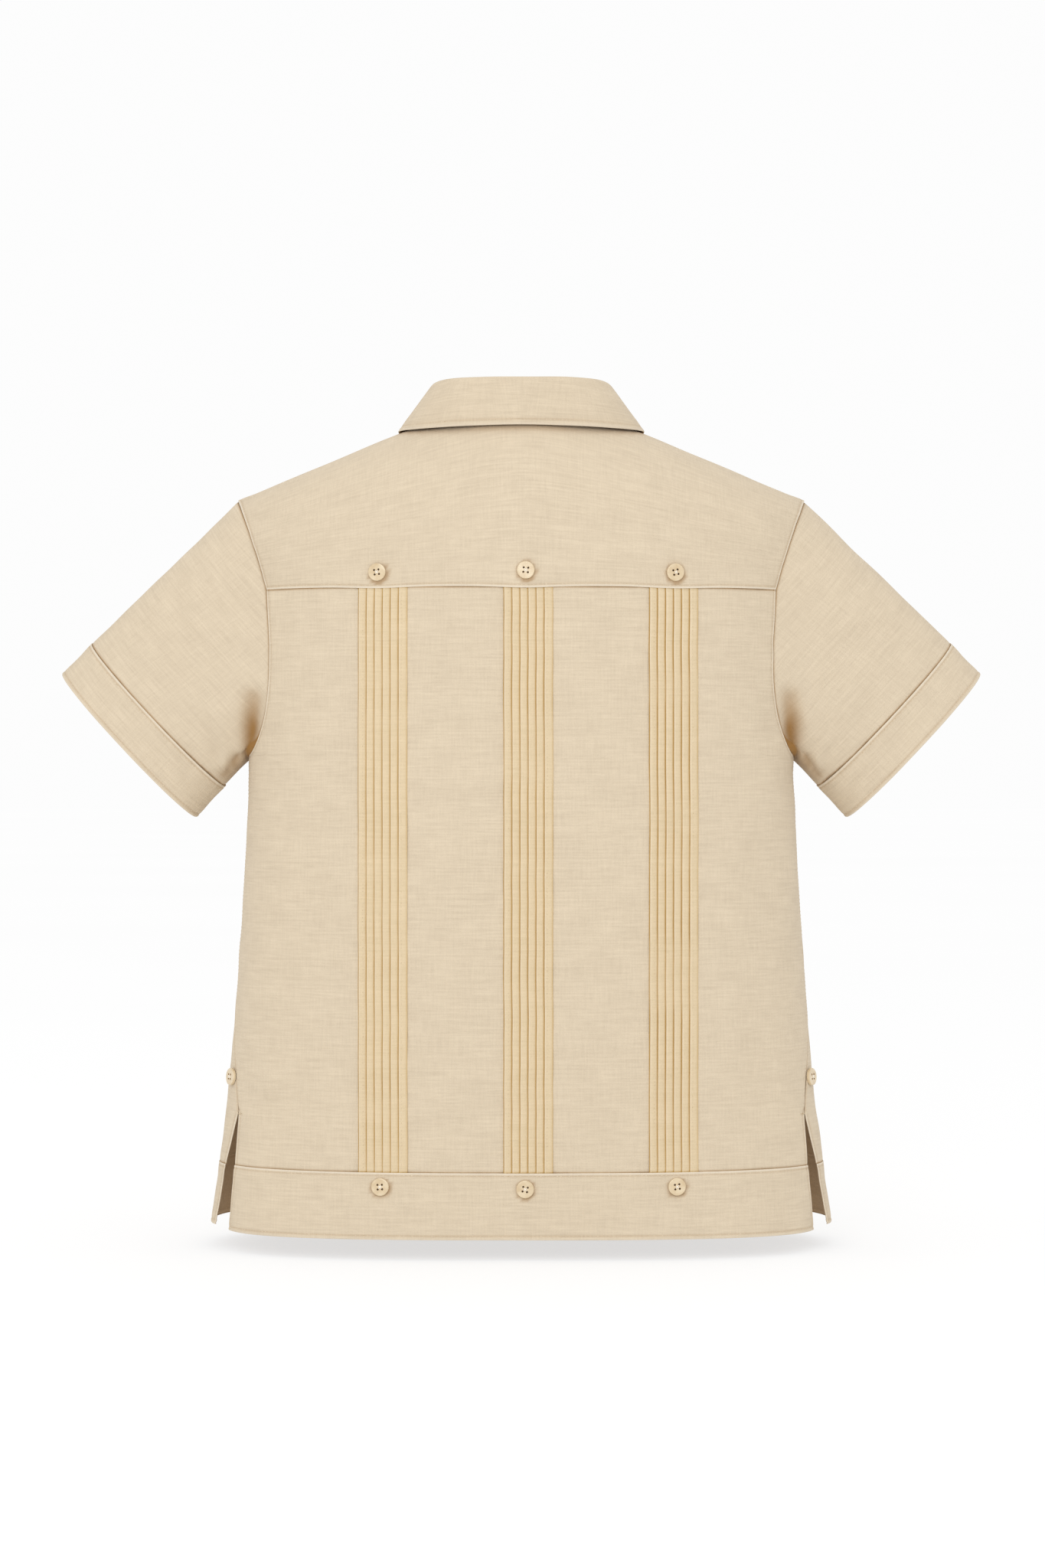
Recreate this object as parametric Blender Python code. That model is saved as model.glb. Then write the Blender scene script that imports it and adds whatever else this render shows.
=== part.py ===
"""A boy's short-sleeved guayabera shirt, filled out as if worn, with no wearer.

Metres, +Z up. The wearer faces -Y and has the left arm on +X. The origin is the middle of the neck
opening at the height where the shoulders meet the neck, which is where a wearer's shoulders hold it.
Every cloth piece is a sheet of points on the garment's outer form, given its thickness inwards.
Sheets run left to right and bottom to top as seen from outside, so their faces point outwards.
"""
import math
from typing import NamedTuple

import bpy
import bmesh
from mathutils import Matrix, Vector

# Cloth
WALL = 0.0012
GAP = 0.0003

# Heights of the body's seams and edges
HEM_Z = -0.533
FRONT_HEM_Z = -0.530
HEM_SEAM_Z = -0.490
VENT_TOP_Z = -0.456
UNDERARM_Z = -0.2215
YOKE_SEAM_Z = -0.113

# Shoulders: the ridge falls from the neck to the sleeve in a nearly straight line
RIDGE_Y = -0.005
RIDGE_PEAK_Z = 0.0293
RIDGE_SLOPE = 0.4268
RIDGE_ROUND = 0.030
SHOULDER_HALF_WIDTH = 0.188
BACK_POWER = 2.6
FRONT_POWER_MIDDLE = 1.25
FRONT_POWER_SIDE = 2.40
ARMHOLE_POWER = 2.4
YOKE_FRONT_SHARE = -0.30
YOKE_SEAM_SHARE = 0.003

# Armholes below the yoke seam, as half depths from the shirt's middle plane
ARMHOLE_MIDDLE_Z = -0.150
ARMHOLE_BACK_DEPTH = 0.0445
ARMHOLE_BACK_TOP_DEPTH = 0.0420
ARMHOLE_FRONT_DEPTH = -0.0470
ARMHOLE_FLOOR_POWER = 3.0

# Neck opening, seen from above
NECK_HALF_WIDTH = 0.060
NECK_MIDDLE_Y = -0.004
NECK_DEPTH = 0.058
NECK_POWER = 2.6

# Tucks: three bands of pressed tucks, named as the wearer has them
TUCK_BANDS = (("left", 0.089), ("middle", -0.0045), ("right", -0.098))
TUCK_BAND_WIDTH = 0.031
TUCK_COUNT = 6
TUCK_LOW = 0.0010
TUCK_HIGH = 0.0017

# Front closing: the fronts meet in the middle under the button band
FRONT_BAND_HALF = 0.014

# Sleeves: middle of the band's seam and of the opening, and the long half axis of each
SLEEVE_SEAM_MIDDLE = Vector((0.2420, -0.007, -0.1935))
SLEEVE_END_MIDDLE = Vector((0.2618, -0.009, -0.2140))
SLEEVE_UP = Vector((0.682, 0.0, 0.7314)).normalized()
SLEEVE_SEAM_HALF = 0.0648
SLEEVE_END_HALF = 0.0656
SLEEVE_HALF_DEPTH = 0.0320
SLEEVE_SWING = math.radians(5.0)
SLEEVE_POWER = 2.2
SLEEVE_GAP = 0.0004
SLEEVE_TOP_EASE = 0.00055

# Collar
FOLD_HALF_WIDTH = 0.0605
FOLD_MIDDLE_Y = 0.001
FOLD_DEPTH = 0.060
FOLD_POWER = 3.0
FOLD_BACK_Z = 0.0245
FOLD_DROP = 0.0495
FOLD_DROP_POWER = 3.2
COLLAR_END_DEG = -89.5
STAND_GAP = 0.0007
FOLD_INSIDE = 0.0025
STAND_DROP = 0.0042
LEAF_CROWN = 0.0004
# The fold's round back from the top of the stand, as steps outward and up
FOLD_ROLL = ((-0.0012, 0.0003), (-0.0010, 0.0022), (0.0004, 0.0040), (0.0024, 0.0041), (0.0038, 0.0024))

# Buttons: 18 line, four holes
BUTTON_RADIUS = 0.0057
BUTTON_THICK = 0.0022
BUTTON_RECESS_RADIUS = 0.0038
BUTTON_RECESS = 0.0006
BUTTON_HOLE_RADIUS = 0.0007
BUTTON_HOLE_PITCH = 0.0029
BUTTON_SIDES = 16

# The side button's height and depth, and how far it tilts back on its thread
SIDE_BUTTON = (-0.4330, 0.0225)
SIDE_BUTTON_TILT = math.radians(8.0)
FRONT_BUTTON_TOP_Z = -0.064
FRONT_BUTTON_PITCH = 0.080
FRONT_BUTTON_COUNT = 6

# Grid counts
BACK_SIDE_STEPS = 4
FRONT_STEPS = 6
ARMHOLE_STEPS = 7
YOKE_SIDE_STEPS = 7
YOKE_DEPTH_STEPS = 7
SLEEVE_STEPS = 5
NECK_FRONT_STEPS = 6
COLLAR_STEPS = 32
LEAF_STEPS = 4


class Ring(NamedTuple):
    """One level section: half width, depth and roundness of the back and of the front."""
    z: float
    back_width: float
    back_depth: float
    back_power: float
    front_width: float
    front_depth: float
    front_power: float


RINGS = (
    Ring(HEM_Z, 0.1956, 0.0830, 2.95, 0.2068, 0.0980, 2.50),
    Ring(HEM_SEAM_Z, 0.1960, 0.0835, 2.60, 0.2002, 0.0985, 2.40),
    Ring(VENT_TOP_Z, 0.1960, 0.0840, 2.30, 0.1960, 0.0990, 2.30),
    Ring(-0.427, 0.1930, 0.0850, 2.32, 0.1930, 0.0995, 2.25),
    Ring(-0.376, 0.1887, 0.0865, 2.36, 0.1887, 0.0995, 2.20),
    Ring(-0.325, 0.1852, 0.0880, 2.40, 0.1852, 0.0995, 2.15),
    Ring(-0.274, 0.1825, 0.0885, 2.40, 0.1825, 0.0990, 2.10),
    Ring(UNDERARM_Z, 0.1800, 0.0880, 2.40, 0.1800, 0.0980, 2.10),
    Ring(YOKE_SEAM_Z, 0.1810, 0.0850, 2.40, 0.1810, 0.0950, 2.10),
)


class SideSeam(NamedTuple):
    """How far back the back's edge and the front's edge lie at one height."""
    z: float
    back_y: float
    front_y: float


SIDE_SEAM = (
    SideSeam(HEM_Z, 0.0300, 0.0236),
    SideSeam(HEM_SEAM_Z, 0.0350, 0.0264),
    SideSeam(VENT_TOP_Z, 0.0335, 0.0335),
    SideSeam(-0.427, 0.0250, 0.0250),
    SideSeam(-0.376, 0.0060, 0.0060),
    SideSeam(UNDERARM_Z, 0.0000, 0.0000),
)


class LeafEdge(NamedTuple):
    """The collar's free edge beside one place of its fold, given by its angle from the side."""
    degrees: float
    x: float
    y: float
    z: float


LEAF_EDGE = (
    LeafEdge(COLLAR_END_DEG, 0.0300, -0.0800, -0.0700),
    LeafEdge(-55.0, 0.0520, -0.0665, -0.0500),
    LeafEdge(-30.0, 0.0710, -0.0390, -0.0205),
    LeafEdge(-17.0, 0.0785, -0.0235, -0.0107),
    LeafEdge(-5.0, 0.0822, -0.0080, -0.0050),
    LeafEdge(15.0, 0.0815, 0.0170, -0.0057),
    LeafEdge(35.0, 0.0715, 0.0380, -0.0070),
    LeafEdge(60.0, 0.0455, 0.0558, -0.0076),
    LeafEdge(90.0, 0.0000, 0.0630, -0.0068),
)


class BackButton(NamedTuple):
    """A button above or below a tuck band."""
    row: str
    side: str
    x: float
    z: float


BACK_BUTTONS = (
    BackButton("yoke", "left", 0.0926, -0.1037),
    BackButton("yoke", "middle", -0.0029, -0.1028),
    BackButton("yoke", "right", -0.0990, -0.1037),
    BackButton("hem", "left", 0.0906, -0.4990),
    BackButton("hem", "middle", -0.0025, -0.5000),
    BackButton("hem", "right", -0.1000, -0.4990),
)


class Colour(NamedTuple):
    """Base colour and roughness of one material."""
    red: float
    green: float
    blue: float
    roughness: float


LINEN = Colour(0.745, 0.620, 0.465, 0.92)
TUCKED_LINEN = Colour(0.730, 0.575, 0.385, 0.92)
BUTTON_RESIN = Colour(0.760, 0.610, 0.420, 0.42)


# ---------------------------------------------------------------- form of the shirt

def between(table, key, value, column):
    """Read a column of a table at a value of its key column, straight between its rows."""
    rows = sorted(table, key=lambda row: getattr(row, key))
    value = min(max(value, getattr(rows[0], key)), getattr(rows[-1], key))
    for low, high in zip(rows, rows[1:]):
        if value <= getattr(high, key):
            share = (value - getattr(low, key)) / (getattr(high, key) - getattr(low, key))
            return getattr(low, column) * (1 - share) + getattr(high, column) * share
    return getattr(rows[-1], column)


def ring(z, side):
    """Half width, depth and roundness of the level section at z, for the 'back' or 'front' panel."""
    return [between(RINGS, "z", z, f"{side}_{what}") for what in ("width", "depth", "power")]


def ring_point(z, side, angle):
    """Point of a panel at height z; the angle runs from the middle of the panel to the side."""
    width, depth, power = ring(z, side)
    sign = 1 if side == "back" else -1
    if angle > math.pi / 2:
        depth, power = ring(max(z, VENT_TOP_Z), "back")[1:]
    x = width * abs(math.sin(angle)) ** (2 / power)
    y = sign * math.copysign(depth * abs(math.cos(angle)) ** (2 / power), math.cos(angle))
    return Vector((x, y, z))


def angle_of_x(z, side, x):
    """Angle at which the panel's section at z reaches x."""
    width, _, power = ring(z, side)
    return math.asin(min(abs(x) / width, 1.0) ** (power / 2))


def angle_of_y(z, side, y):
    """Angle at which the panel's section at z reaches the depth y."""
    sign = 1 if side == "back" else -1
    depth, power = ring(z, side)[1:]
    if y * sign < 0:
        depth, power = ring(max(z, VENT_TOP_Z), "back")[1:]
        return math.pi - math.acos((abs(y) / depth) ** (power / 2))
    return math.acos((abs(y) / depth) ** (power / 2))


def ridge_z(x):
    """Height of the shoulder's ridge."""
    return RIDGE_PEAK_Z - RIDGE_SLOPE * math.hypot(x, RIDGE_ROUND)


def armhole_y(z, side):
    """Depth of the armhole's edge below the yoke seam, at the back or at the front."""
    if side == "front":
        depth = ARMHOLE_FRONT_DEPTH
    else:
        rise = max(0.0, (z - ARMHOLE_MIDDLE_Z) / (YOKE_SEAM_Z - ARMHOLE_MIDDLE_Z))
        depth = ARMHOLE_BACK_DEPTH + (ARMHOLE_BACK_TOP_DEPTH - ARMHOLE_BACK_DEPTH) * rise
    fall = max(0.0, (ARMHOLE_MIDDLE_Z - z) / (ARMHOLE_MIDDLE_Z - UNDERARM_Z))
    return depth * (1 - min(fall, 1.0) ** ARMHOLE_FLOOR_POWER) ** (1 / ARMHOLE_FLOOR_POWER)


def top_edge_x(side):
    """How far out the armhole's edge is at the height of the yoke seam."""
    angle = angle_of_y(YOKE_SEAM_Z, side, armhole_y(YOKE_SEAM_Z, side))
    return ring_point(YOKE_SEAM_Z, side, angle).x


def shoulder_point(across, share):
    """Point above the yoke seam's height.

    across runs from 0 in the middle to 1 at the armhole. share is 1 at the back's yoke seam, 0 on the
    ridge of the shoulder and -1 at the same height on the chest.
    """
    side = "back" if share >= 0 else "front"
    width, depth, power = ring(YOKE_SEAM_Z, side)
    foot_x = top_edge_x(side)
    spread = (1 - abs(share) ** ARMHOLE_POWER) ** (1 / ARMHOLE_POWER)
    edge_x = foot_x + (SHOULDER_HALF_WIDTH - foot_x) * spread
    x = across * edge_x
    foot_y = math.copysign(depth * (1 - (abs(across) * foot_x / width) ** power) ** (1 / power), share)
    y = RIDGE_Y + (foot_y - RIDGE_Y) * abs(share)
    if side == "back":
        roundness = BACK_POWER
    else:
        roundness = FRONT_POWER_MIDDLE + (FRONT_POWER_SIDE - FRONT_POWER_MIDDLE) * across * across
    rise = (1 - abs(share) ** roundness) ** (1 / roundness)
    return Vector((x, y, YOKE_SEAM_Z + (ridge_z(x) - YOKE_SEAM_Z) * rise))


def shoulder_place(x, y):
    """The across and share values of the shoulder's point above the plan position x, y."""
    share = 0.5 if y > RIDGE_Y else -0.5
    across = 0.3
    for _ in range(40):
        edge_x = shoulder_point(1.0, share).x
        across = x / edge_x
        full_y = shoulder_point(across, math.copysign(1.0, share)).y
        share = (y - RIDGE_Y) / (full_y - RIDGE_Y) * math.copysign(1.0, share)
    return across, share


def share_to_turn(share):
    """Turn a share into an angle, which spaces rows evenly round the shoulder."""
    return math.acos(math.copysign(abs(share) ** (BACK_POWER / 2), share))


def turn_to_share(turn):
    """Turn that angle back into a share."""
    return math.copysign(abs(math.cos(turn)) ** (2 / BACK_POWER), math.cos(turn))


def oval(angle, half_width, middle_y, depth, power):
    """Plan position on a rounded oval; the angle is 0 at the wearer's left and 90 degrees at the back."""
    cos, sin = math.cos(angle), math.sin(angle)
    x = math.copysign(half_width * abs(cos) ** (2 / power), cos)
    return x, middle_y + math.copysign(depth * abs(sin) ** (2 / power), sin)


def neck_place(angle):
    """The across and share values of the neck opening's edge at an angle of its oval."""
    x, y = oval(angle, NECK_HALF_WIDTH, NECK_MIDDLE_Y, NECK_DEPTH, NECK_POWER)
    return shoulder_place(x, y)


def neck_angle_where(test):
    """Angle on the front left of the neck opening where the test of its place changes sign."""
    low, high = math.radians(-90.0), math.radians(-1.0)
    for _ in range(40):
        middle = (low + high) / 2
        if test(neck_place(middle)) > 0:
            high = middle
        else:
            low = middle
    return (low + high) / 2


# ---------------------------------------------------------------- rows and columns of the panels

def body_rows():
    """Heights of the rows from the hem band's seam to the underarm."""
    return [HEM_SEAM_Z, VENT_TOP_Z, -0.427, -0.401, -0.376, -0.325, -0.274]


def armhole_rows():
    """Heights of the rows from the underarm to the yoke seam, close together on the armhole's floor."""
    rows = []
    for step in range(ARMHOLE_STEPS):
        fall = math.sin(math.pi / 2 * (1 - step / ARMHOLE_STEPS)) ** (2 / ARMHOLE_FLOOR_POWER)
        rows.append(ARMHOLE_MIDDLE_Z + (UNDERARM_Z - ARMHOLE_MIDDLE_Z) * fall)
    return rows + [ARMHOLE_MIDDLE_Z, (ARMHOLE_MIDDLE_Z + YOKE_SEAM_Z) / 2, YOKE_SEAM_Z]


def edge_angle(z, side):
    """Angle of a panel's side edge: its side seam, its vent, or the armhole."""
    if z > UNDERARM_Z:
        return angle_of_y(z, side, armhole_y(z, side))
    gap = GAP / 2 if side == "back" else -GAP / 2
    return angle_of_y(z, side, between(SIDE_SEAM, "z", z, f"{side}_y") + gap)


def tuck_edges():
    """The x of both edges of each tuck band, from +X to -X."""
    return [middle + half for _, middle in TUCK_BANDS for half in (TUCK_BAND_WIDTH / 2, -TUCK_BAND_WIDTH / 2)]


def back_columns():
    """The x of the back's upright columns: band edges and middles, and the middles of the plain cloth."""
    edges = tuck_edges()
    columns = [edges[0]]
    for first, second in zip(edges, edges[1:]):
        columns += [(first + second) / 2, second]
    return columns


def back_row(z):
    """One row of the back, from +X to -X."""
    columns = back_columns()
    points = []
    for sign, start in ((1, columns[0]), (-1, columns[-1])):
        first, last = angle_of_x(z, "back", start), edge_angle(z, "back")
        turn = (last - first) / BACK_SIDE_STEPS
        side = [ring_point(z, "back", first + turn * step) for step in range(1, BACK_SIDE_STEPS + 1)]
        points.append([Vector((sign * p.x, p.y, p.z)) for p in side])
    inner = [on_back(x, z) for x in columns]
    return points[0][::-1] + inner + points[1]


def on_back(x, z):
    """Point of the back at x and z."""
    point = ring_point(z, "back", angle_of_x(z, "back", x))
    return Vector((math.copysign(point.x, x), point.y, z))


def front_row(z):
    """One row of the left front at height z: the middle, the button band's edge, and on to the side."""
    first, last = angle_of_x(z, "front", FRONT_BAND_HALF), edge_angle(z, "front")
    turn = (last - first) / FRONT_STEPS
    middle = ring_point(z, "front", angle_of_x(z, "front", GAP / 2))
    return [middle] + [ring_point(z, "front", first + turn * step) for step in range(FRONT_STEPS + 1)]


def front_shares():
    """Shares of the front's rows from the yoke seam's height to the neck's lowest point."""
    lowest = neck_place(neck_start())[1]
    return [turn_to_share(math.pi + (share_to_turn(lowest) - math.pi) * step / 3) for step in (1, 2)]


def neck_start():
    """Angle at which the neck opening meets a front's middle edge."""
    return neck_angle_where(lambda place: shoulder_point(*place).x - GAP / 2)


def neck_end():
    """Angle at which the neck opening crosses the yoke's front seam."""
    return neck_angle_where(lambda place: place[1] - YOKE_FRONT_SHARE)


def neck_front_places():
    """Places on the neck opening from where the fronts meet to the yoke's front seam."""
    first = neck_start()
    turn = (neck_end() - first) / NECK_FRONT_STEPS
    places = [neck_place(first + turn * step) for step in range(NECK_FRONT_STEPS + 1)]
    places[-1] = (places[-1][0], YOKE_FRONT_SHARE - YOKE_SEAM_SHARE)
    return places


def front_top_rows():
    """Rows of the left front above the yoke seam's height, from the middle or the neck to the armhole."""
    foot = front_row(YOKE_SEAM_Z)
    edge_x = foot[-1].x
    acrosses = [point.x / edge_x for point in foot]
    rows = [[shoulder_point(across, share) for across in acrosses] for share in front_shares()]
    for start, share in neck_front_places():
        shift = [start + (across - acrosses[0]) * (1 - start) / (1 - acrosses[0]) for across in acrosses]
        rows.append([shoulder_point(across, share) for across in shift])
    return rows


# ---------------------------------------------------------------- meshes

def material(name, colour):
    """A plain surface of one colour."""
    made = bpy.data.materials.new(name)
    made.use_nodes = True
    shader = made.node_tree.nodes["Principled BSDF"]
    shader.inputs["Base Color"].default_value = (colour.red, colour.green, colour.blue, 1.0)
    shader.inputs["Roughness"].default_value = colour.roughness
    shader.inputs["Metallic"].default_value = 0.0
    return made


def add_object(name, mesh, colour):
    """Link a mesh to the scene under its name, smooth and in its own material."""
    mesh.shade_smooth()
    mesh.materials.append(material(name, colour))
    made = bpy.data.objects.new(name, mesh)
    bpy.context.collection.objects.link(made)
    return made


def sheet_faces(shape, grid, wrap=False, turned=False):
    """Quads through a grid of vertices; wrap closes each row into a ring, turned faces them inwards."""
    for low, high in zip(grid, grid[1:]):
        for column in range(len(low) if wrap else len(low) - 1):
            following = (column + 1) % len(low)
            corners = (low[column], low[following], high[following], high[column])
            shape.faces.new(corners[::-1] if turned else corners)


def mesh_from(shape, name):
    """Turn a bmesh into a mesh."""
    mesh = bpy.data.meshes.new(name)
    shape.to_mesh(mesh)
    shape.free()
    return mesh


def sheet_normals(rows, wrap=False):
    """Outward directions at a sheet's points, carried on past its edges as the sheet curves."""
    shape = bmesh.new()
    sheet_faces(shape, [[shape.verts.new(point) for point in row] for row in rows], wrap)
    shape.normal_update()
    width = len(rows[0])
    flat = [vertex.normal.copy() for vertex in shape.verts]
    shape.free()
    normals = [flat[start:start + width] for start in range(0, len(flat), width)]
    if not wrap:
        for row in normals:
            row[0], row[-1] = carried_on(row[0], row[1]), carried_on(row[-1], row[-2])
    normals[0] = [carried_on(edge, inner) for edge, inner in zip(normals[0], normals[1])]
    normals[-1] = [carried_on(edge, inner) for edge, inner in zip(normals[-1], normals[-2])]
    return normals


def carried_on(edge, inner):
    """Direction at an edge, turned as far from its neighbour's again."""
    return (edge * 2 - inner).normalized()


def moved(rows, normals, distance):
    """A sheet's points moved along their normals."""
    return [[point + normal * distance for point, normal in zip(*pair)] for pair in zip(rows, normals)]


def cloth(name, rows, wrap=False, colour=LINEN):
    """A cloth piece: a closed wall whose outer face is the sheet, with its thickness on the inside."""
    inside = moved(rows, sheet_normals(rows, wrap), -WALL)
    shape = bmesh.new()
    outer = [[shape.verts.new(point) for point in row] for row in rows]
    inner = [[shape.verts.new(point) for point in row] for row in inside]
    sheet_faces(shape, outer, wrap)
    sheet_faces(shape, inner, wrap, turned=True)
    sheet_faces(shape, [inner[0], outer[0]], wrap)
    sheet_faces(shape, [outer[-1], inner[-1]], wrap)
    if not wrap:
        first, last = [[row[edge] for row in outer] for edge in (0, -1)]
        first_in, last_in = [[row[edge] for row in inner] for edge in (0, -1)]
        sheet_faces(shape, [first, first_in])
        sheet_faces(shape, [last_in, last])
    add_object(name, mesh_from(shape, name), colour)


def mirrored(rows):
    """The same sheet on the wearer's other side, still facing out."""
    return [[Vector((-p.x, p.y, p.z)) for p in reversed(row)] for row in rows]


# ---------------------------------------------------------------- cloth pieces

def seam_rows(first, last, heights):
    """Heights between two seams, with the first and last drawn back by half the seam's gap."""
    inner = [z for z in heights if first < z < last]
    return [first + GAP / 2] + inner + [last - GAP / 2]


def make_back():
    """The back between the hem band and the yoke, and the hem band under it."""
    heights = body_rows() + armhole_rows()
    cloth("back", [back_row(z) for z in seam_rows(HEM_SEAM_Z, YOKE_SEAM_Z, heights)])
    band = [HEM_Z, (HEM_Z + HEM_SEAM_Z) / 2, HEM_SEAM_Z - GAP / 2]
    cloth("hem_band_back", [back_row(z) for z in band])


def make_tuck_band(name, middle):
    """A band of pressed tucks on the back: saw teeth that are high on their +X edge."""
    heights = seam_rows(HEM_SEAM_Z, YOKE_SEAM_Z, body_rows() + armhole_rows())
    half = TUCK_BAND_WIDTH / 2
    pitch = TUCK_BAND_WIDTH / TUCK_COUNT
    inner_x = (middle + half, middle, middle - half)
    outer = []
    for tuck in range(TUCK_COUNT):
        start = middle + half - tuck * pitch
        outer += [(start, TUCK_HIGH), (start - pitch * 0.97, TUCK_LOW)]
    shape = bmesh.new()
    loops = []
    for z in heights:
        face = [on_back(x, z) + back_normal(x, z) * (GAP + thick) for x, thick in outer]
        rear = [on_back(x, z) + back_normal(x, z) * GAP for x in inner_x]
        loops.append([shape.verts.new(point) for point in face + rear[::-1]])
    for low, high in zip(loops, loops[1:]):
        for index in range(len(low)):
            following = (index + 1) % len(low)
            shape.faces.new((low[index], low[following], high[following], high[index]))
    shape.faces.new(loops[0][::-1])
    shape.faces.new(loops[-1])
    add_object(name, mesh_from(shape, name), TUCKED_LINEN)


def back_normal(x, z):
    """Direction out of the back at x and z, level."""
    step = 0.001
    along = on_back(x - step, z) - on_back(x + step, z)
    return Vector((along.y, -along.x, 0.0)).normalized()


def make_yoke():
    """The yoke: from the neck opening out to the armholes and down to the back's seam."""
    front_turn = share_to_turn(YOKE_FRONT_SHARE + YOKE_SEAM_SHARE)
    turns = [front_turn, math.pi / 2]
    turns += [math.pi / 2 * (1 - step / (YOKE_SIDE_STEPS - 1)) for step in range(1, YOKE_SIDE_STEPS)]
    foot = back_row(YOKE_SEAM_Z + GAP / 2)
    edge_x = foot[0].x
    outer = [(1.0, turn) for turn in turns]
    outer += [(point.x / edge_x, 0.0) for point in foot[1:-1]]
    outer += [(-1.0, turn) for turn in reversed(turns)]
    start = neck_angle_where(lambda place: place[1] - YOKE_FRONT_SHARE - YOKE_SEAM_SHARE)
    count = len(outer) - 1
    angles = [start + (math.pi - 2 * start) * step / count for step in range(count + 1)]
    rows = []
    for step in range(YOKE_DEPTH_STEPS + 1):
        share = step / YOKE_DEPTH_STEPS
        row = []
        for (out_across, out_turn), angle in zip(outer, angles):
            across, neck_share = neck_place(angle)
            turn = share_to_turn(neck_share)
            place = (across + (out_across - across) * share, turn + (out_turn - turn) * share)
            point = shoulder_point(place[0], turn_to_share(place[1]))
            point.z += GAP / 2 * share * (out_turn == 0.0)
            row.append(point)
        rows.append(row)
    cloth("yoke", rows[::-1])


def front_hem_rows():
    """Heights of the fronts' lower edge and of the middle of their hem bands."""
    return [FRONT_HEM_Z, (FRONT_HEM_Z + HEM_SEAM_Z) / 2]


def make_fronts():
    """Both fronts with their hem bands."""
    heights = seam_rows(HEM_SEAM_Z, YOKE_SEAM_Z, body_rows() + armhole_rows())[:-1] + [YOKE_SEAM_Z]
    front = [front_row(z) for z in heights] + front_top_rows()
    band = [front_row(z) for z in front_hem_rows() + [HEM_SEAM_Z - GAP / 2]]
    for side, turned in (("left", lambda sheet: sheet), ("right", mirrored)):
        cloth(f"front_{side}", turned(front))
        cloth(f"hem_band_{side}", turned(band))


def make_front_band():
    """The button band that lies over the place where the fronts meet."""
    heights = front_hem_rows() + body_rows() + armhole_rows()
    half_rows = [front_row(z)[:2] for z in heights]
    foot_x = front_row(YOKE_SEAM_Z)[-1].x
    for share in front_shares() + [neck_place(neck_start())[1]]:
        half_rows.append([shoulder_point(point.x / foot_x, share) for point in front_row(YOKE_SEAM_Z)[:2]])
    rows = []
    for middle, edge in half_rows:
        rows.append([Vector((-edge.x, edge.y, edge.z)), Vector((0.0, middle.y, middle.z)), edge])
    rows[-1] = [point.lerp(below, 0.02) for point, below in zip(rows[-1], rows[-2])]
    cloth("front_band", moved(rows, sheet_normals(rows), GAP + WALL))


def sleeve_ring(middle, half_height, angle):
    """Point of a left sleeve's section; the angle is 0 on top and 90 degrees at the front."""
    axis = (SLEEVE_END_MIDDLE - SLEEVE_SEAM_MIDDLE).normalized()
    deep = Vector((0.0, -math.cos(SLEEVE_SWING), 0.0)) - axis * math.sin(SLEEVE_SWING)
    cos, sin = math.cos(angle), math.sin(angle)
    up = math.copysign(half_height * abs(cos) ** (2 / SLEEVE_POWER), cos)
    out = math.copysign(SLEEVE_HALF_DEPTH * abs(sin) ** (2 / SLEEVE_POWER), sin)
    return middle + SLEEVE_UP * up + deep * out


def armhole_loop():
    """Points round the left armhole, from the shoulder forwards, down, and up the back."""
    turns = [math.pi / 2 * (1 - step / (YOKE_SIDE_STEPS - 1)) for step in range(YOKE_SIDE_STEPS)]
    over_back = [shoulder_point(1.0, turn_to_share(turn)) for turn in turns]
    shares = [place[1] for place in reversed(neck_front_places())] + front_shares()[::-1]
    over_front = [shoulder_point(1.0, share) for share in shares]
    heights = armhole_rows()[::-1]
    down_front = [ring_point(z, "front", edge_angle(z, "front")) for z in heights[:-1]]
    underarm = [ring_point(UNDERARM_Z, "front", math.pi / 2)]
    up_back = [ring_point(z, "back", edge_angle(z, "back")) for z in heights[:-1]]
    front = over_front + down_front + underarm
    return [over_back[0]] + front, up_back[::-1] + over_back[:0:-1]


def make_sleeves():
    """Sleeves lofted from the armholes to their bands, and the bands."""
    axis = (SLEEVE_END_MIDDLE - SLEEVE_SEAM_MIDDLE).normalized()
    front, back = armhole_loop()
    loop = front + back
    angles = [math.pi * share for share in lengths(front)]
    angles += [math.pi * (1 + share) for share in lengths([front[-1]] + back + [front[0]])[1:-1]]
    start = []
    for point, angle in zip(loop, angles):
        start.append(point + axis * (SLEEVE_GAP + SLEEVE_TOP_EASE * max(0.0, math.cos(angle))))
    seam = [sleeve_ring(SLEEVE_SEAM_MIDDLE, SLEEVE_SEAM_HALF, angle) for angle in angles]
    end = [sleeve_ring(SLEEVE_END_MIDDLE, SLEEVE_END_HALF, angle) for angle in angles]
    rows = blend(start, [point - axis * GAP / 2 for point in seam], SLEEVE_STEPS)
    band = blend([point + axis * GAP / 2 for point in seam], end, 2)
    for side, turned in (("left", lambda sheet: sheet), ("right", mirrored)):
        cloth(f"sleeve_{side}", turned(rows), wrap=True)
        cloth(f"sleeve_band_{side}", turned(band), wrap=True)


def lengths(points):
    """Each point's share of the whole length of a path."""
    steps = [0.0]
    for first, second in zip(points, points[1:]):
        steps.append(steps[-1] + (second - first).length)
    return [step / steps[-1] for step in steps]


def blend(first, last, steps):
    """Rows that run straight from one ring of points to another."""
    return [[a.lerp(b, step / steps) for a, b in zip(first, last)] for step in range(steps + 1)]


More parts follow.
